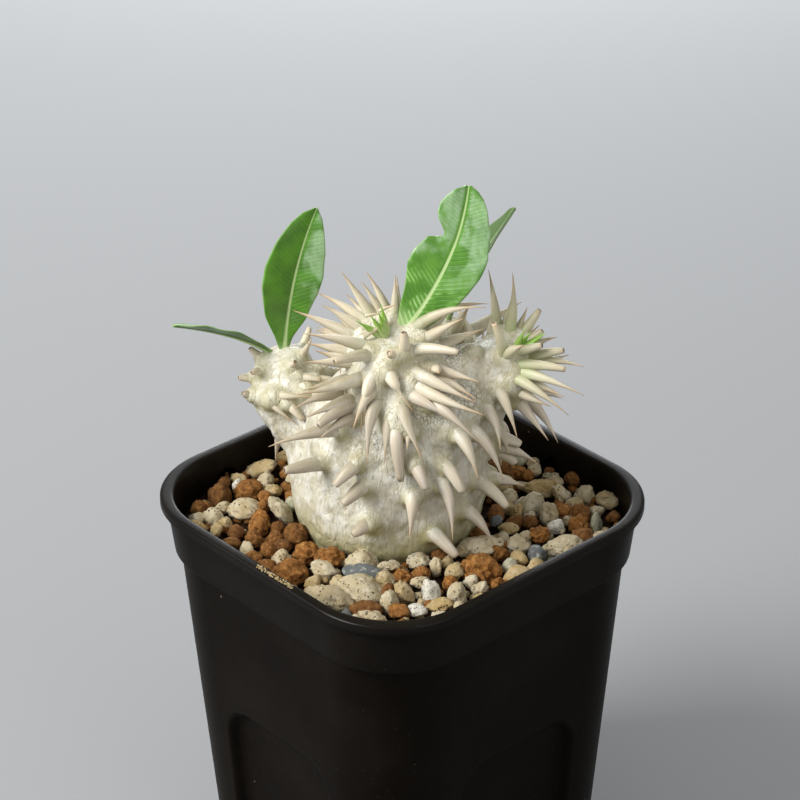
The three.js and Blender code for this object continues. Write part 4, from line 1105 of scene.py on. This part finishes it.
def pot_material(look):
    """Black moulded plastic with a dusty bloom, pale specks, scuffs and a glossier lip."""
    shade = Shade("black_plastic", Specular_IOR_Level=0.03, Coat_Roughness=0.22)
    place = shade.place()
    bloom = shade.noise(place, 0.035, 4.0, 0.6)
    spread = shade.warped(place, 0.9, 0.7)
    few = shade.node("ShaderNodeSeparateColor", inputs={0: shade.cells(spread, 0.16, output=1)})
    specks = shade.cells(spread, 0.16).step(0.075, 0.035) * few.step(0.55, 0.7)
    dust = shade.cells(place, 0.45).step(0.1, 0.04)
    scuffs = shade.noise(shade.place((0.25, 0.25, 1.6)), 0.5, 5.0, 0.8).step(0.68, 0.8)
    colour = shade.coats(
        look.pot_black,
        (bloom.step(0.35, 0.75), look.pot_bloom),
        (scuffs * 0.05, SCUFF_GREY),
        (dust * 0.09, DUST_GREY),
        (specks * 0.6, SPECK_CREAM),
    )
    up = shade.node("ShaderNodeSeparateXYZ", inputs={0: place}, output=2)
    gloss = up.step(LIP_FOOT, LIP_FOOT + 1) * 0.12 + up.step(*GLOSS_RISE) * 0.05
    shade.feed("Coat Weight", gloss * (0.6 + bloom))
    roughness = 0.34 + bloom * 0.2 + scuffs * 0.15 + specks * 0.2
    return shade.finish(colour, roughness, shade.noise(place, 1.4, 3.0) + specks * 2, 0.02)


# Bark

# Growing points round which young horns are green: place, reach and strength
GREEN_SPOTS = (((-1.5, -2, 47), 7, 0.55), ((24.5, 1.5, 41), 9, 1), ((10, 16, 42), 6, 0.5))
# Where the bark is crackled: place, reach and strength
NET_SPOTS = (((6, -9, 34), 8, 1), ((12, -5, 34), 9, 1), ((11.3, 1, 41), 9, 1),
             ((-7, -13, 27), 6, 0.4))
SKIN_VOXEL = 0.43
SKIN_STEPS = 4
SLOPE_STEP = 0.05
FLARE_REACH = 7
FLARE_BLEND = 3.2


def nearness(points, spots):
    """How near each point is to a spot: its strength at the middle, 0 at its reach."""
    near = [strength * smooth_step(reach, reach * 0.4, np.linalg.norm(points - spot, axis=1))
            for spot, reach, strength in spots]
    return np.max(near, axis=0)


def flare(spine):
    """The swollen foot of a horn: two ends and the radius at each."""
    return (spine.root - spine.lean * 1.6, spine.root + spine.lean * 1.7,
            spine.base * 1.3, spine.base * 0.95)


def flares(points):
    """The swollen feet, each with the skin points near it."""
    rows = []
    for spine in SPINES:
        near = np.flatnonzero(((points - spine.root) ** 2).sum(1) < FLARE_REACH ** 2)
        rows.append((near, *flare(spine)))
    return rows


def skin_field(points, rows):
    distance = caudex_field(points)
    for near, a, b, ra, rb in rows:
        if len(near):
            horn = capsule_distance(points[near], a, b, ra, rb)
            distance[near] = run_together(distance[near], horn, FLARE_BLEND)
    return distance


def relief(points, clear):
    """Wrinkles and lumps of the bark: broad dents, papery folds and small creases."""
    heights = []
    for point, bare in zip(points.tolist(), clear.tolist()):
        at = Vector(point)
        broad = noise.fractal(at * 0.09, 1.0, 2.0, 3)
        bent = at + noise.noise_vector(at * 0.4) * 1.6
        fold = 1 - abs(noise.noise(Vector((bent.x, bent.y, bent.z * 0.6)) * 0.42)) * 2
        crease = 1 - abs(noise.noise(bent * 0.95)) * 2
        heights.append(0.8 * broad + (0.3 + 0.7 * bare) * (0.22 * fold + 0.1 * crease))
    return np.array(heights)


def skin_bmesh():
    """The bark as one closed skin with flared horn feet and wrinkles."""
    bm = bmesh.new()
    capsules = [(4, *lobe) for lobe in LOBES] + [(2, *flare(spine)) for spine in SPINES]
    templates = {detail: ball_template(detail) for detail in (2, 4)}
    for detail, a, b, ra, rb in capsules:
        a, b = np.array(a, float), np.array(b, float)
        verts = add_copy(bm, templates[detail])
        outward = points_of(verts)
        far = (outward @ (b - a) > 0)[:, None]
        move_to(verts, np.where(far, b + outward * rb, a + outward * ra))
    bm = with_modifier(bm, "REMESH", mode="VOXEL", voxel_size=SKIN_VOXEL)
    points = points_of(bm.verts)
    rows = flares(points)
    for _ in range(SKIN_STEPS):
        offsets = SLOPE_STEP * np.eye(3)
        slope = np.stack([skin_field(points + offset, rows) - skin_field(points - offset, rows)
                          for offset in offsets], axis=1) / (2 * SLOPE_STEP)
        value = skin_field(points, rows) / np.maximum((slope ** 2).sum(1), 0.05)
        points -= slope * value[:, None]
    normals = unit(slope)
    away = np.full(len(points), 100.0)
    for near, a, b, _, _ in rows:
        away[near] = np.minimum(away[near], capsule_distance(points[near], a, b, 0, 0))
    points += normals * relief(points, smooth_step(1.6, 4.2, away))[:, None]
    move_to(bm.verts, points)
    bmesh.ops.smooth_vert(bm, verts=bm.verts, factor=0.3, use_axis_x=True, use_axis_y=True,
                          use_axis_z=True)
    # Green low on the bark, plus painted shade on faces that turn down and in the creases round the
    # horn feet
    moss = 0.75 * smooth_step(13, -1, points[:, 2]) + 0.3 * smooth_step(0.25, -0.6, normals[:, 2])
    moss += 0.605 * smooth_step(4.5, 1.8, away)
    set_values(bm, net=nearness(points, NET_SPOTS), moss=np.clip(moss, 0, 1))
    return bm


# Horns and needles

DRY_RIPE = 0.7
STUB_RIPE = 0.8
DEAD_DARK = 0.85
# Dry needles in the crown: foot, way to the point, thickness, and 1 for a dead black one
DRY_NEEDLES = (
    ((-7.2, -4.5, 50.2), (6.1, 1, 2.7), 0.5, 0), ((-1, -9.3, 43.6), (1.7, -2.7, -4.3), 0.45, 1),
    ((-13.9, -3, 43), (0.8, -1.5, -3.2), 0.36, 0), ((-2.2, -5.5, 47.6), (2.6, -1.4, -1.2), 0.4, 0),
    ((-7, -1, 53), (3.4, 0, 0.3), 0.3, 0), ((-4, -1.5, 54.6), (3.4, 0, 1.2), 0.3, 0),
    ((12, 2, 53.6), (7.6, 0, 0.4), 0.42, 0), ((18.6, -2, 41.6), (3.2, -1, 0.6), 0.4, 1),
)


def dry_needle(foot, reach, base):
    reach = np.array(reach, float)
    lean = unit(reach + (0, 0, 0.8))
    return Spine(np.array(foot, float), lean, reach, float(np.linalg.norm(reach)), base, young=1)


def horns_bmesh():
    """Every horn and dry needle, with the attributes that their material reads."""
    templates = {stub: horn_template(stub) for stub in (False, True)}
    draws = Draws(SEED + 3)
    bm = bmesh.new()
    values = {name: [] for name in ("along", "tint", "green", "cut", "fibre")}
    dry = [(dry_needle(*row), DRY_RIPE, dead) for *row, dead in DRY_NEEDLES]
    for spine, ripe, dead in [(spine, 0, 0) for spine in SPINES] + dry:
        verts = add_copy(bm, templates[spine.stub])
        points = points_of(verts)
        share = np.clip(points[:, 2], 0, 1)
        tint = draws.between(0.55, 1) if spine.young < 0.1 else draws.between(0, 0.5)
        green = float(nearness(spine.root[None], GREEN_SPOTS)[0])
        hollow = (np.hypot(points[:, 0], points[:, 1]) < 0.7) & (share > 0.99)
        ripening = (1 - ripe) * (STUB_RIPE if spine.stub else 1)
        values["along"] += (ripe + share * ripening).tolist()
        values["tint"] += [tint] * len(verts)
        values["green"] += [green] * len(verts)
        values["cut"] += np.maximum(hollow * spine.stub, dead * DEAD_DARK).tolist()
        values["fibre"] += (points * (1, 1, 0.25 * spine.length) + tint * 40).tolist()
        move_to(verts, bent_horn(points, spine))
    set_values(bm, **values)
    bmesh.ops.recalc_face_normals(bm, faces=bm.faces)
    bm.normal_update()
    # Painted shade on faces that turn down, kept for the horn material
    down = np.array([vert.normal.z for vert in bm.verts])
    set_values(bm, under=smooth_step(0.1, -0.9, down))
    return bm


# Leaves and buds

# Pale sheen on the left and right half of each leaf, how dull it is, its glare between the veins
LEAF_SHEEN = {
    "leaf_notched": (0.75, 0.7, 0, 0.7),
    "leaf_left": (0.08, 0.85, 0, 0),
    "leaf_side": (0.9, 0.9, 0.5, 0),
    "leaf_rear": (0.2, 0.2, 0.85, 0),
}


def leaf_bmesh(settings, sheen_left, sheen_right, dusk, quilt):
    """A blade with its relief, and the attributes that its material reads."""
    bm = bmesh.new()
    bmesh.ops.create_grid(bm, x_segments=LEAF_COLUMNS, y_segments=LEAF_ROWS, size=1)
    flat = points_of(bm.verts)
    side = flat[:, 0]
    placed, across, along, thick = leaf_surface(flat, *settings)
    move_to(bm.verts, placed)
    set_values(bm, across=across, along=along, edge=np.abs(side), share=(flat[:, 1] + 1) / 2,
               sheen=np.where(side < 0, sheen_left, sheen_right),
               dusk=np.full(len(flat), dusk), quilt=np.full(len(flat), quilt))
    weights = bm.verts.layers.deform.verify()
    for vert, value in zip(bm.verts, (thick / thick.max()).tolist()):
        vert[weights][0] = value
    bm = with_modifier(bm, "SOLIDIFY", ["thick"], thickness=thick.max(), offset=0,
                       vertex_group="thick", use_even_offset=False)
    bmesh.ops.recalc_face_normals(bm, faces=bm.faces)
    return bm


def bud_bmesh(knob, axis, count, length, draws):
    """Young pointed blades round a small knob."""
    bm = bmesh.new()
    axis = unit(np.array(axis, float))
    knob = np.array(knob, float)
    template = horn_template(False)
    ball = bmesh.ops.create_icosphere(bm, subdivisions=3, radius=KNOB)["verts"]
    points = points_of(ball)
    values = {"along": [0.0] * len(ball), "fibre": points.tolist()}
    move_to(ball, points + knob)
    for i in range(count):
        lean = tilted(axis, BUD_TILT + BUD_SPREAD * i / count, i * GOLDEN_ANGLE)
        blade_length = length * draws.between(0.75, 1.1)
        reach = (lean + axis * BUD_RISE) * blade_length
        blade = Spine(knob + lean * KNOB * 0.9, lean, reach, blade_length, BUD_BASE)
        verts = add_copy(bm, template)
        points = points_of(verts)
        values["along"] += points[:, 2].tolist()
        values["fibre"] += (points * (1, 1, 1.5)).tolist()
        move_to(verts, bent_horn(points, blade))
    set_values(bm, **values)
    bmesh.ops.recalc_face_normals(bm, faces=bm.faces)
    return bm


# Gravel and soil

# Of the thrown grains: share of clay, what it gains to the left, and the draws from which a grain
# is tan, green or slate
CLAY_SHARE = 0.42
CLAY_LEFT = 0.25
TAN_FROM = 0.75
GREEN_FROM = 0.97
SLATE_FROM = 0.985
# Of each stone: its flat faces, how sharp their edges are and how far it may reach
FACETS = 13
FACET_SHARPNESS = 18
STONE_REACH = 1.16


def stone_points(directions, draws, roughness, roundness):
    """Unit directions pushed out to an angular stone with softened edges and a rough face."""
    facing = unit(np.array([[draws.between(-1, 1) for _ in range(3)] for _ in range(FACETS)]))
    depth = np.array([draws.between(0.68, 1) for _ in range(FACETS)])
    reach = depth / np.maximum(directions @ facing.T, 1e-3)
    radius = (reach ** -FACET_SHARPNESS).sum(1) ** (-1 / FACET_SHARPNESS)
    radius = np.minimum(radius * 1.05, 1.15) * (1 - roundness) + roundness
    shift = Vector([draws.between(0, 100)] * 3)
    bumps = [noise.fractal(Vector(d) * 2.2 + shift, 0.7, 2.1, 4) for d in directions.tolist()]
    return directions * np.minimum(radius + roughness * np.array(bumps), STONE_REACH)[:, None]


def thrown_kind(grain, draws):
    """Clay gathers to the left, so pumice is commoner to the right."""
    here = to_plant(grain.x, grain.y, GRAVEL_LEVEL)
    clay_share = CLAY_SHARE + CLAY_LEFT * float(smooth_step(0, -30, here[0]))
    draw = draws.next()
    if draw < clay_share:
        return "clay" if draw < clay_share * 0.5 else "ball"
    if draw > GREEN_FROM:
        return "slate" if draw > SLATE_FROM else "green"
    return "tan" if draw > TAN_FROM else "pumice"


# Kinds of grain: piece, roughness and roundness of the shape, tints from and to
GRAIN_LOOKS = {
    "pumice": ("pumice", 0.2, 0, 0, 0.4),
    "tan": ("pumice", 0.2, 0.05, 0.6, 1),
    "clay": ("clay", 0.34, 0.15, 0, 0.4),
    "ball": ("clay", 0.18, 0.7, 0.5, 1),
    "slate": ("stone", 0.14, 0.05, 0, 0.15),
    "green": ("stone", 0.08, 0.3, 0.45, 0.55),
    "granite": ("stone", 0.1, 0.1, 0.9, 1),
}


LIP_CRUMBS = 120
# Where the lip crumbs lie: along the front left side and in from its edge
CRUMBS_ALONG = (1.5, 13.5)
CRUMBS_IN = (0.8, 2)
GAP_CRUMBS = 420
# Grains reach no farther above and below the gravel's level than this
GRAIN_SPAN = 4


def grit(draws):
    """Small crumbs stuck on the front left of the lip and lying in the gaps between the grains."""
    crumbs = []
    room = inner_half(GRAVEL_LEVEL) - GAP
    strewn = Draws(SEED + 6)
    for _ in range(LIP_CRUMBS):
        radius = strewn.between(0.08, 0.24)
        x = strewn.between(*CRUMBS_ALONG)
        y = -LIP_HALF + strewn.between(*CRUMBS_IN)
        half = (radius * 1.2, radius, radius * 0.8)
        crumbs.append(Grain(x, y, POT_HEIGHT, half, 0, strewn.between(0, 3), CRUMB_DETAIL, "tan"))
    for _ in range(GAP_CRUMBS):
        radius = draws.between(0.6, 1.4)
        x = draws.between(-room, room)
        y = draws.between(-room, room)
        z = GRAVEL_LEVEL - draws.between(0.6, 2.2)
        clear = caudex_field(to_plant(x, y, GRAVEL_LEVEL - 1))[0] > radius * 0.3
        if clear and inside_ring(x, y, room - radius):
            half = (radius * draws.between(1, 1.3), radius, radius * 0.85)
            crumbs.append(Grain(x, y, z, half, 0, draws.between(0, 3), CRUMB_DETAIL))
    return crumbs


def gravel_bmeshes():
    """One mesh for pumice, clay and stone each: the grains, and the grit between them."""
    draws = Draws(SEED + 4)
    room = inner_half(GRAVEL_LEVEL - GRAIN_SPAN) - GAP
    meshes = {kind: bmesh.new() for kind in ("pumice", "clay", "stone")}
    tints = {kind: [] for kind in meshes}
    details = (PLACED_DETAIL, THROWN_DETAIL, CRUMB_DETAIL)
    templates = {detail: ball_template(detail) for detail in details}
    for grain in thrown_grains() + grit(draws):
        kind = grain.kind or thrown_kind(grain, draws)
        piece, roughness, roundness, low, high = GRAIN_LOOKS[kind]
        verts = add_copy(meshes[piece], templates[grain.detail])
        points = stone_points(points_of(verts), draws, roughness, roundness) * grain.half
        turn = Matrix.Rotation(grain.turn, 3, "Z") @ Matrix.Rotation(-grain.tip, 3, "Y")
        points = points @ np.array(turn).T + (grain.x, grain.y, grain.z)
        if grain.z < GRAVEL_LEVEL + GRAIN_SPAN:
            points[:, :2] = np.clip(points[:, :2], -room, room)
        move_to(verts, points)
        tints[piece] += [draws.between(low, high)] * len(verts)
    for kind, bm in meshes.items():
        set_values(bm, tint=tints[kind])
    return meshes


def soil_bmesh():
    """The filling under the grains, with a crumbly top."""
    bm = bmesh.new()
    profile = [(0, FLOOR + GAP), (20, FLOOR + GAP), (inner_half(FLOOR) - GAP, FLOOR + GAP)]
    profile += [(body_half(z) - WALL - GAP, z) for z in wall_heights(STEP_FOOT)]
    profile += [(inner_half(STEP_TOP) - GAP, STEP_TOP), (inner_half(CORE_LEVEL) - GAP, CORE_LEVEL)]
    profile += [(inner_half(CORE_LEVEL) * share, CORE_LEVEL) for share in np.linspace(0.97, 0, 30)]
    square_turned(bm, profile, WALL + GAP)
    for vert in bm.verts:
        if vert.co.z > CORE_LEVEL - 0.1:
            vert.co.z += 0.9 * noise.fractal(vert.co * 0.35, 0.8, 2.0, 4) - 0.4
    return bm


# Add-on classes

def colour_property(name, description, default):
    return bpy.props.FloatVectorProperty(
        name=name, description=description, default=default, subtype="COLOR", min=0, max=1)


class PachypodiumLook(bpy.types.PropertyGroup):
    """Colours of every surface, as linear values."""

    pot_black: colour_property("Pot", "Black of the moulded pot", (0.0045, 0.0032, 0.0022))
    pot_bloom: colour_property("Pot bloom", "Dusty tone over the black", (0.0085, 0.0066, 0.005))
    bark_pale: colour_property("Bark", "Main tone of the bark", (0.55, 0.515, 0.4))
    bark_grey: colour_property("Bark dull", "Duller patches of the bark", (0.43, 0.39, 0.28))
    bark_white: colour_property("Bark sheen", "Silvery sheets of the bark", (0.68, 0.67, 0.6))
    # Dark cracks and dashes of the bark, also the painted shade on the undersides of the horns
    bark_crack_and_shade: colour_property(
        "Bark furrow", "Tone in the wrinkles of the bark", (0.2, 0.17, 0.09))
    # Also the colour of the painted shade beneath bulges and round the horn feet
    moss: colour_property("Bark green", "Green yellow tone low on the bark", (0.37, 0.34, 0.17))
    horn_cream: colour_property("Horn", "Cream of the horns", (0.67, 0.59, 0.43))
    horn_grey: colour_property("Horn shade", "Pinkish grey horns", (0.48, 0.405, 0.315))
    horn_green: colour_property("Young horn", "Greenish foot of young horns", (0.41, 0.46, 0.23))
    horn_gold: colour_property("Horn point", "Golden stretch before the point", (0.52, 0.35, 0.19))
    horn_brown: colour_property("Horn tip", "Brown of the very tip", (0.34, 0.17, 0.085))
    leaf_deep: colour_property("Leaf", "Deep green of the leaves", (0.055, 0.175, 0.009))
    leaf_bright: colour_property("Leaf light", "Bright green of the leaves", (0.09, 0.265, 0.013))
    leaf_sheen: colour_property(
        "Leaf sheen", "Pale sheen of the sky on the blade", (0.3, 0.45, 0.25))
    leaf_dusk: colour_property(
        "Leaf dull", "Greyer green of the leaves behind", (0.075, 0.12, 0.04))
    leaf_glare: colour_property(
        "Leaf glare", "Glossy light between the veins near the foot", (0.5, 0.7, 0.34))
    leaf_vein: colour_property("Leaf vein", "Side veins and margin", (0.32, 0.52, 0.16))
    bud_green: colour_property("Bud", "Yellow green of the young blades", (0.22, 0.4, 0.045))
    leaf_rib: colour_property("Midrib", "Pale green midrib", (0.5, 0.64, 0.3))
    pumice_cream: colour_property("Pumice", "Cream pumice", (0.54, 0.46, 0.3))
    # Chalky tone, also the painted light on the raised parts of the pumice
    pumice_chalk_and_highlight: colour_property("Pumice light", "Chalky faces", (0.72, 0.67, 0.53))
    pumice_tan: colour_property("Pumice tan", "Tan pumice", (0.44, 0.31, 0.13))
    clay_orange: colour_property("Clay", "Orange clay grains", (0.4, 0.17, 0.042))
    clay_brown: colour_property("Clay dark", "Dark brown clay grains", (0.19, 0.085, 0.027))
    # Lighter crumbs, also the painted highlight on the raised crumbs of the clay
    clay_crumb_and_highlight: colour_property("Clay crumbs", "Lighter crumbs on the clay", (0.66, 0.37, 0.13))
    stone_slate: colour_property("Slate", "Blue grey stones", (0.1, 0.11, 0.11))
    stone_green: colour_property("Green stone", "Grey green stones", (0.36, 0.35, 0.24))
    stone_white: colour_property(
        "Speckled stone", "White of the speckled stones", (0.6, 0.57, 0.48))
    soil_brown: colour_property("Soil", "Soil between the grains", (0.05, 0.026, 0.011))


class PachypodiumStage(bpy.types.PropertyGroup):
    """Camera and light."""

    elevation: bpy.props.FloatProperty(
        name="Elevation", description="How far the camera looks down", default=math.radians(29.66),
        subtype="ANGLE")
    roll: bpy.props.FloatProperty(
        name="Roll", description="Turn of the camera about its view", default=math.radians(-0.513),
        subtype="ANGLE")
    distance: bpy.props.FloatProperty(
        name="Distance", description="Camera to the middle of the lip", default=0.692402,
        unit="LENGTH")
    right: bpy.props.FloatProperty(
        name="Right", description="Camera moved right in its own view", default=-0.000354,
        unit="LENGTH")
    up: bpy.props.FloatProperty(
        name="Up", description="Camera moved up in its own view", default=0.020897, unit="LENGTH")
    lens: bpy.props.FloatProperty(name="Lens", description="Focal length in mm", default=137.617)
    floor: colour_property("Floor", "Pale floor", (0.262, 0.267, 0.275))
    key_power: bpy.props.FloatProperty(
        name="Key", description="Power of the window light", default=17.0)
    fill_power: bpy.props.FloatProperty(
        name="Fill", description="Power of the fill light", default=2.6)
    back_power: bpy.props.FloatProperty(
        name="Back", description="Power of the light over the far floor", default=9.0)
    sky: bpy.props.FloatProperty(name="Sky", description="Strength of the even light", default=0.6)


# Of the stage, in metres
FLOOR_HALF = 4
LIT_SPOT = (0, 0, 0.1)
CLOUD_GREY = (0.5, 0.5, 0.5)
SKY_WHITE = (0.94, 0.96, 0.98, 1)


class PACHYPODIUM_OT_pot(bpy.types.Operator):
    """Builds the black nursery pot"""

    bl_idname = "pachypodium.pot"
    bl_label = "Build Pot"

    def execute(self, context):
        bm = bmesh.new()
        square_turned(bm, pot_profile(), 0)
        slits = add_object("slits", baked(slit_cutter(), "slits"))
        bm = with_modifier(bm, "BOOLEAN", operation="DIFFERENCE", object=slits, solver="EXACT")
        bpy.data.objects.remove(slits)
        material = pot_material(context.scene.pachypodium_look)
        finish_piece(bm, "nursery_pot", material, ["pot"])
        return {"FINISHED"}


class PACHYPODIUM_OT_gravel(bpy.types.Operator):
    """Builds the soil and the grains of pumice, clay and stone"""

    bl_idname = "pachypodium.gravel"
    bl_label = "Build Gravel"

    def execute(self, context):
        look = context.scene.pachypodium_look
        node = "gritty_soil"
        finish_piece(soil_bmesh(), "soil_bed", soil_material(look), [node])
        materials = {"pumice": pumice_material, "clay": clay_material, "stone": stone_material}
        for kind, bm in gravel_bmeshes().items():
            finish_piece(bm, f"gravel_{kind}", materials[kind](look), [node])
        return {"FINISHED"}


class PACHYPODIUM_OT_caudex(bpy.types.Operator):
    """Builds the bark of the caudex and its horns"""

    bl_idname = "pachypodium.caudex"
    bl_label = "Build Caudex"

    def execute(self, context):
        look = context.scene.pachypodium_look
        for name, bm, material in (("caudex_bark", skin_bmesh(), bark_material(look)),
                                   ("caudex_horns", horns_bmesh(), horn_material(look))):
            finish_piece(bm, name, material, ["caudex"], PLANT_PLACE)
        return {"FINISHED"}


class PACHYPODIUM_OT_leaves(bpy.types.Operator):
    """Builds the four leaves"""

    bl_idname = "pachypodium.leaves"
    bl_label = "Build Leaves"

    def execute(self, context):
        material = leaf_material(context.scene.pachypodium_look)
        for name, settings in LEAVES.items():
            bm = leaf_bmesh(settings, *LEAF_SHEEN[name])
            finish_piece(bm, f"{name}_blade", material, [name], PLANT_PLACE)
        return {"FINISHED"}


class PACHYPODIUM_OT_buds(bpy.types.Operator):
    """Builds the green bud tufts of the heads"""

    bl_idname = "pachypodium.buds"
    bl_label = "Build Buds"

    def execute(self, context):
        material = bud_material(context.scene.pachypodium_look)
        draws = Draws(SEED + 2)
        for name, settings in BUDS.items():
            bm = bud_bmesh(*settings, draws)
            finish_piece(bm, f"{name}_tuft", material, [name], PLANT_PLACE)
        return {"FINISHED"}


def area_light(name, place, target, size, power, colour):
    """A square soft box in the plant's axes, aimed at a target, in metres."""
    data = bpy.data.lights.new(name, "AREA")
    data.shape = "SQUARE"
    data.size = size
    data.energy = power
    data.color = colour
    light = add_object(name, data)
    turn = Matrix.Rotation(PLANT_TURN, 3, "Z")
    aim_line = turn @ (Vector(target) - Vector(place))
    light.location = turn @ Vector(place)
    light.rotation_euler = aim_line.to_track_quat("-Z", "Y").to_euler()


class PACHYPODIUM_OT_stage(bpy.types.Operator):
    """Adds the floor, the soft light and the camera"""

    bl_idname = "pachypodium.stage"
    bl_label = "Build Stage"

    def execute(self, context):
        stage = context.scene.pachypodium_stage
        bm = bmesh.new()
        bmesh.ops.create_grid(bm, x_segments=1, y_segments=1, size=FLOOR_HALF)
        floor = add_object("floor", baked(bm, "floor"))
        shade = Shade("floor_paint")
        cloud = shade.noise(shade.place(), 0.002)
        colour = shade.mix(cloud * 0.06, stage.floor, CLOUD_GREY)
        floor.data.materials.append(shade.finish(colour, 0.85 + cloud * 0.1))

        area_light("window", (-0.75, -0.25, 0.8), LIT_SPOT, 0.6, stage.key_power, (1, 0.99, 0.97))
        area_light("fill", (0.8, -0.7, 0.6), LIT_SPOT, 0.9, stage.fill_power, (1, 0.93, 0.82))
        area_light("back", (0.03, 1.0, 0.42), (0.03, 0.95, 0), 0.4, stage.back_power,
                   (0.95, 0.98, 1))
        world = bpy.data.worlds.new("studio")
        world.use_nodes = True
        background = world.node_tree.nodes["Background"].inputs
        background["Color"].default_value = SKY_WHITE
        background["Strength"].default_value = stage.sky
        context.scene.world = world
        context.scene.view_settings.view_transform = "Standard"

        data = bpy.data.cameras.new("camera")
        data.lens = stage.lens
        data.clip_start = 0.01
        camera = add_object("camera", data)
        tilt = Matrix.Rotation(math.pi / 2 - stage.elevation, 4, "X")
        axes = Matrix.Rotation(PLANT_TURN, 4, "Z") @ tilt @ Matrix.Rotation(stage.roll, 4, "Z")
        rim = Matrix.Translation((0, 0, POT_HEIGHT * MM))
        shift = Matrix.Translation((stage.right, stage.up, stage.distance))
        camera.matrix_world = rim @ axes @ shift
        context.scene.camera = camera
        return {"FINISHED"}


class PACHYPODIUM_PT_panel(bpy.types.Panel):
    """Buttons for each piece"""

    bl_label = "Potted Pachypodium"
    bl_idname = "PACHYPODIUM_PT_panel"
    bl_space_type = "VIEW_3D"
    bl_region_type = "UI"
    bl_category = "Pachypodium"

    def draw(self, context):
        for operator in OPERATORS:
            self.layout.operator(operator.bl_idname)
        for group in (context.scene.pachypodium_look, context.scene.pachypodium_stage):
            column = self.layout.column()
            for name in group.__annotations__:
                column.prop(group, name)


OPERATORS = (
    PACHYPODIUM_OT_pot,
    PACHYPODIUM_OT_gravel,
    PACHYPODIUM_OT_caudex,
    PACHYPODIUM_OT_leaves,
    PACHYPODIUM_OT_buds,
    PACHYPODIUM_OT_stage,
)
CLASSES = (PachypodiumLook, PachypodiumStage, *OPERATORS, PACHYPODIUM_PT_panel)


def register():
    for cls in CLASSES:
        bpy.utils.register_class(cls)
    bpy.types.Scene.pachypodium_look = bpy.props.PointerProperty(type=PachypodiumLook)
    bpy.types.Scene.pachypodium_stage = bpy.props.PointerProperty(type=PachypodiumStage)


def unregister():
    del bpy.types.Scene.pachypodium_stage
    del bpy.types.Scene.pachypodium_look
    for cls in reversed(CLASSES):
        bpy.utils.unregister_class(cls)


def main():
    register()
    bpy.ops.pachypodium.pot()
    bpy.ops.pachypodium.gravel()
    bpy.ops.pachypodium.caudex()
    bpy.ops.pachypodium.leaves()
    bpy.ops.pachypodium.buds()
    bpy.ops.pachypodium.stage()


if __name__ == "__main__":
    main()
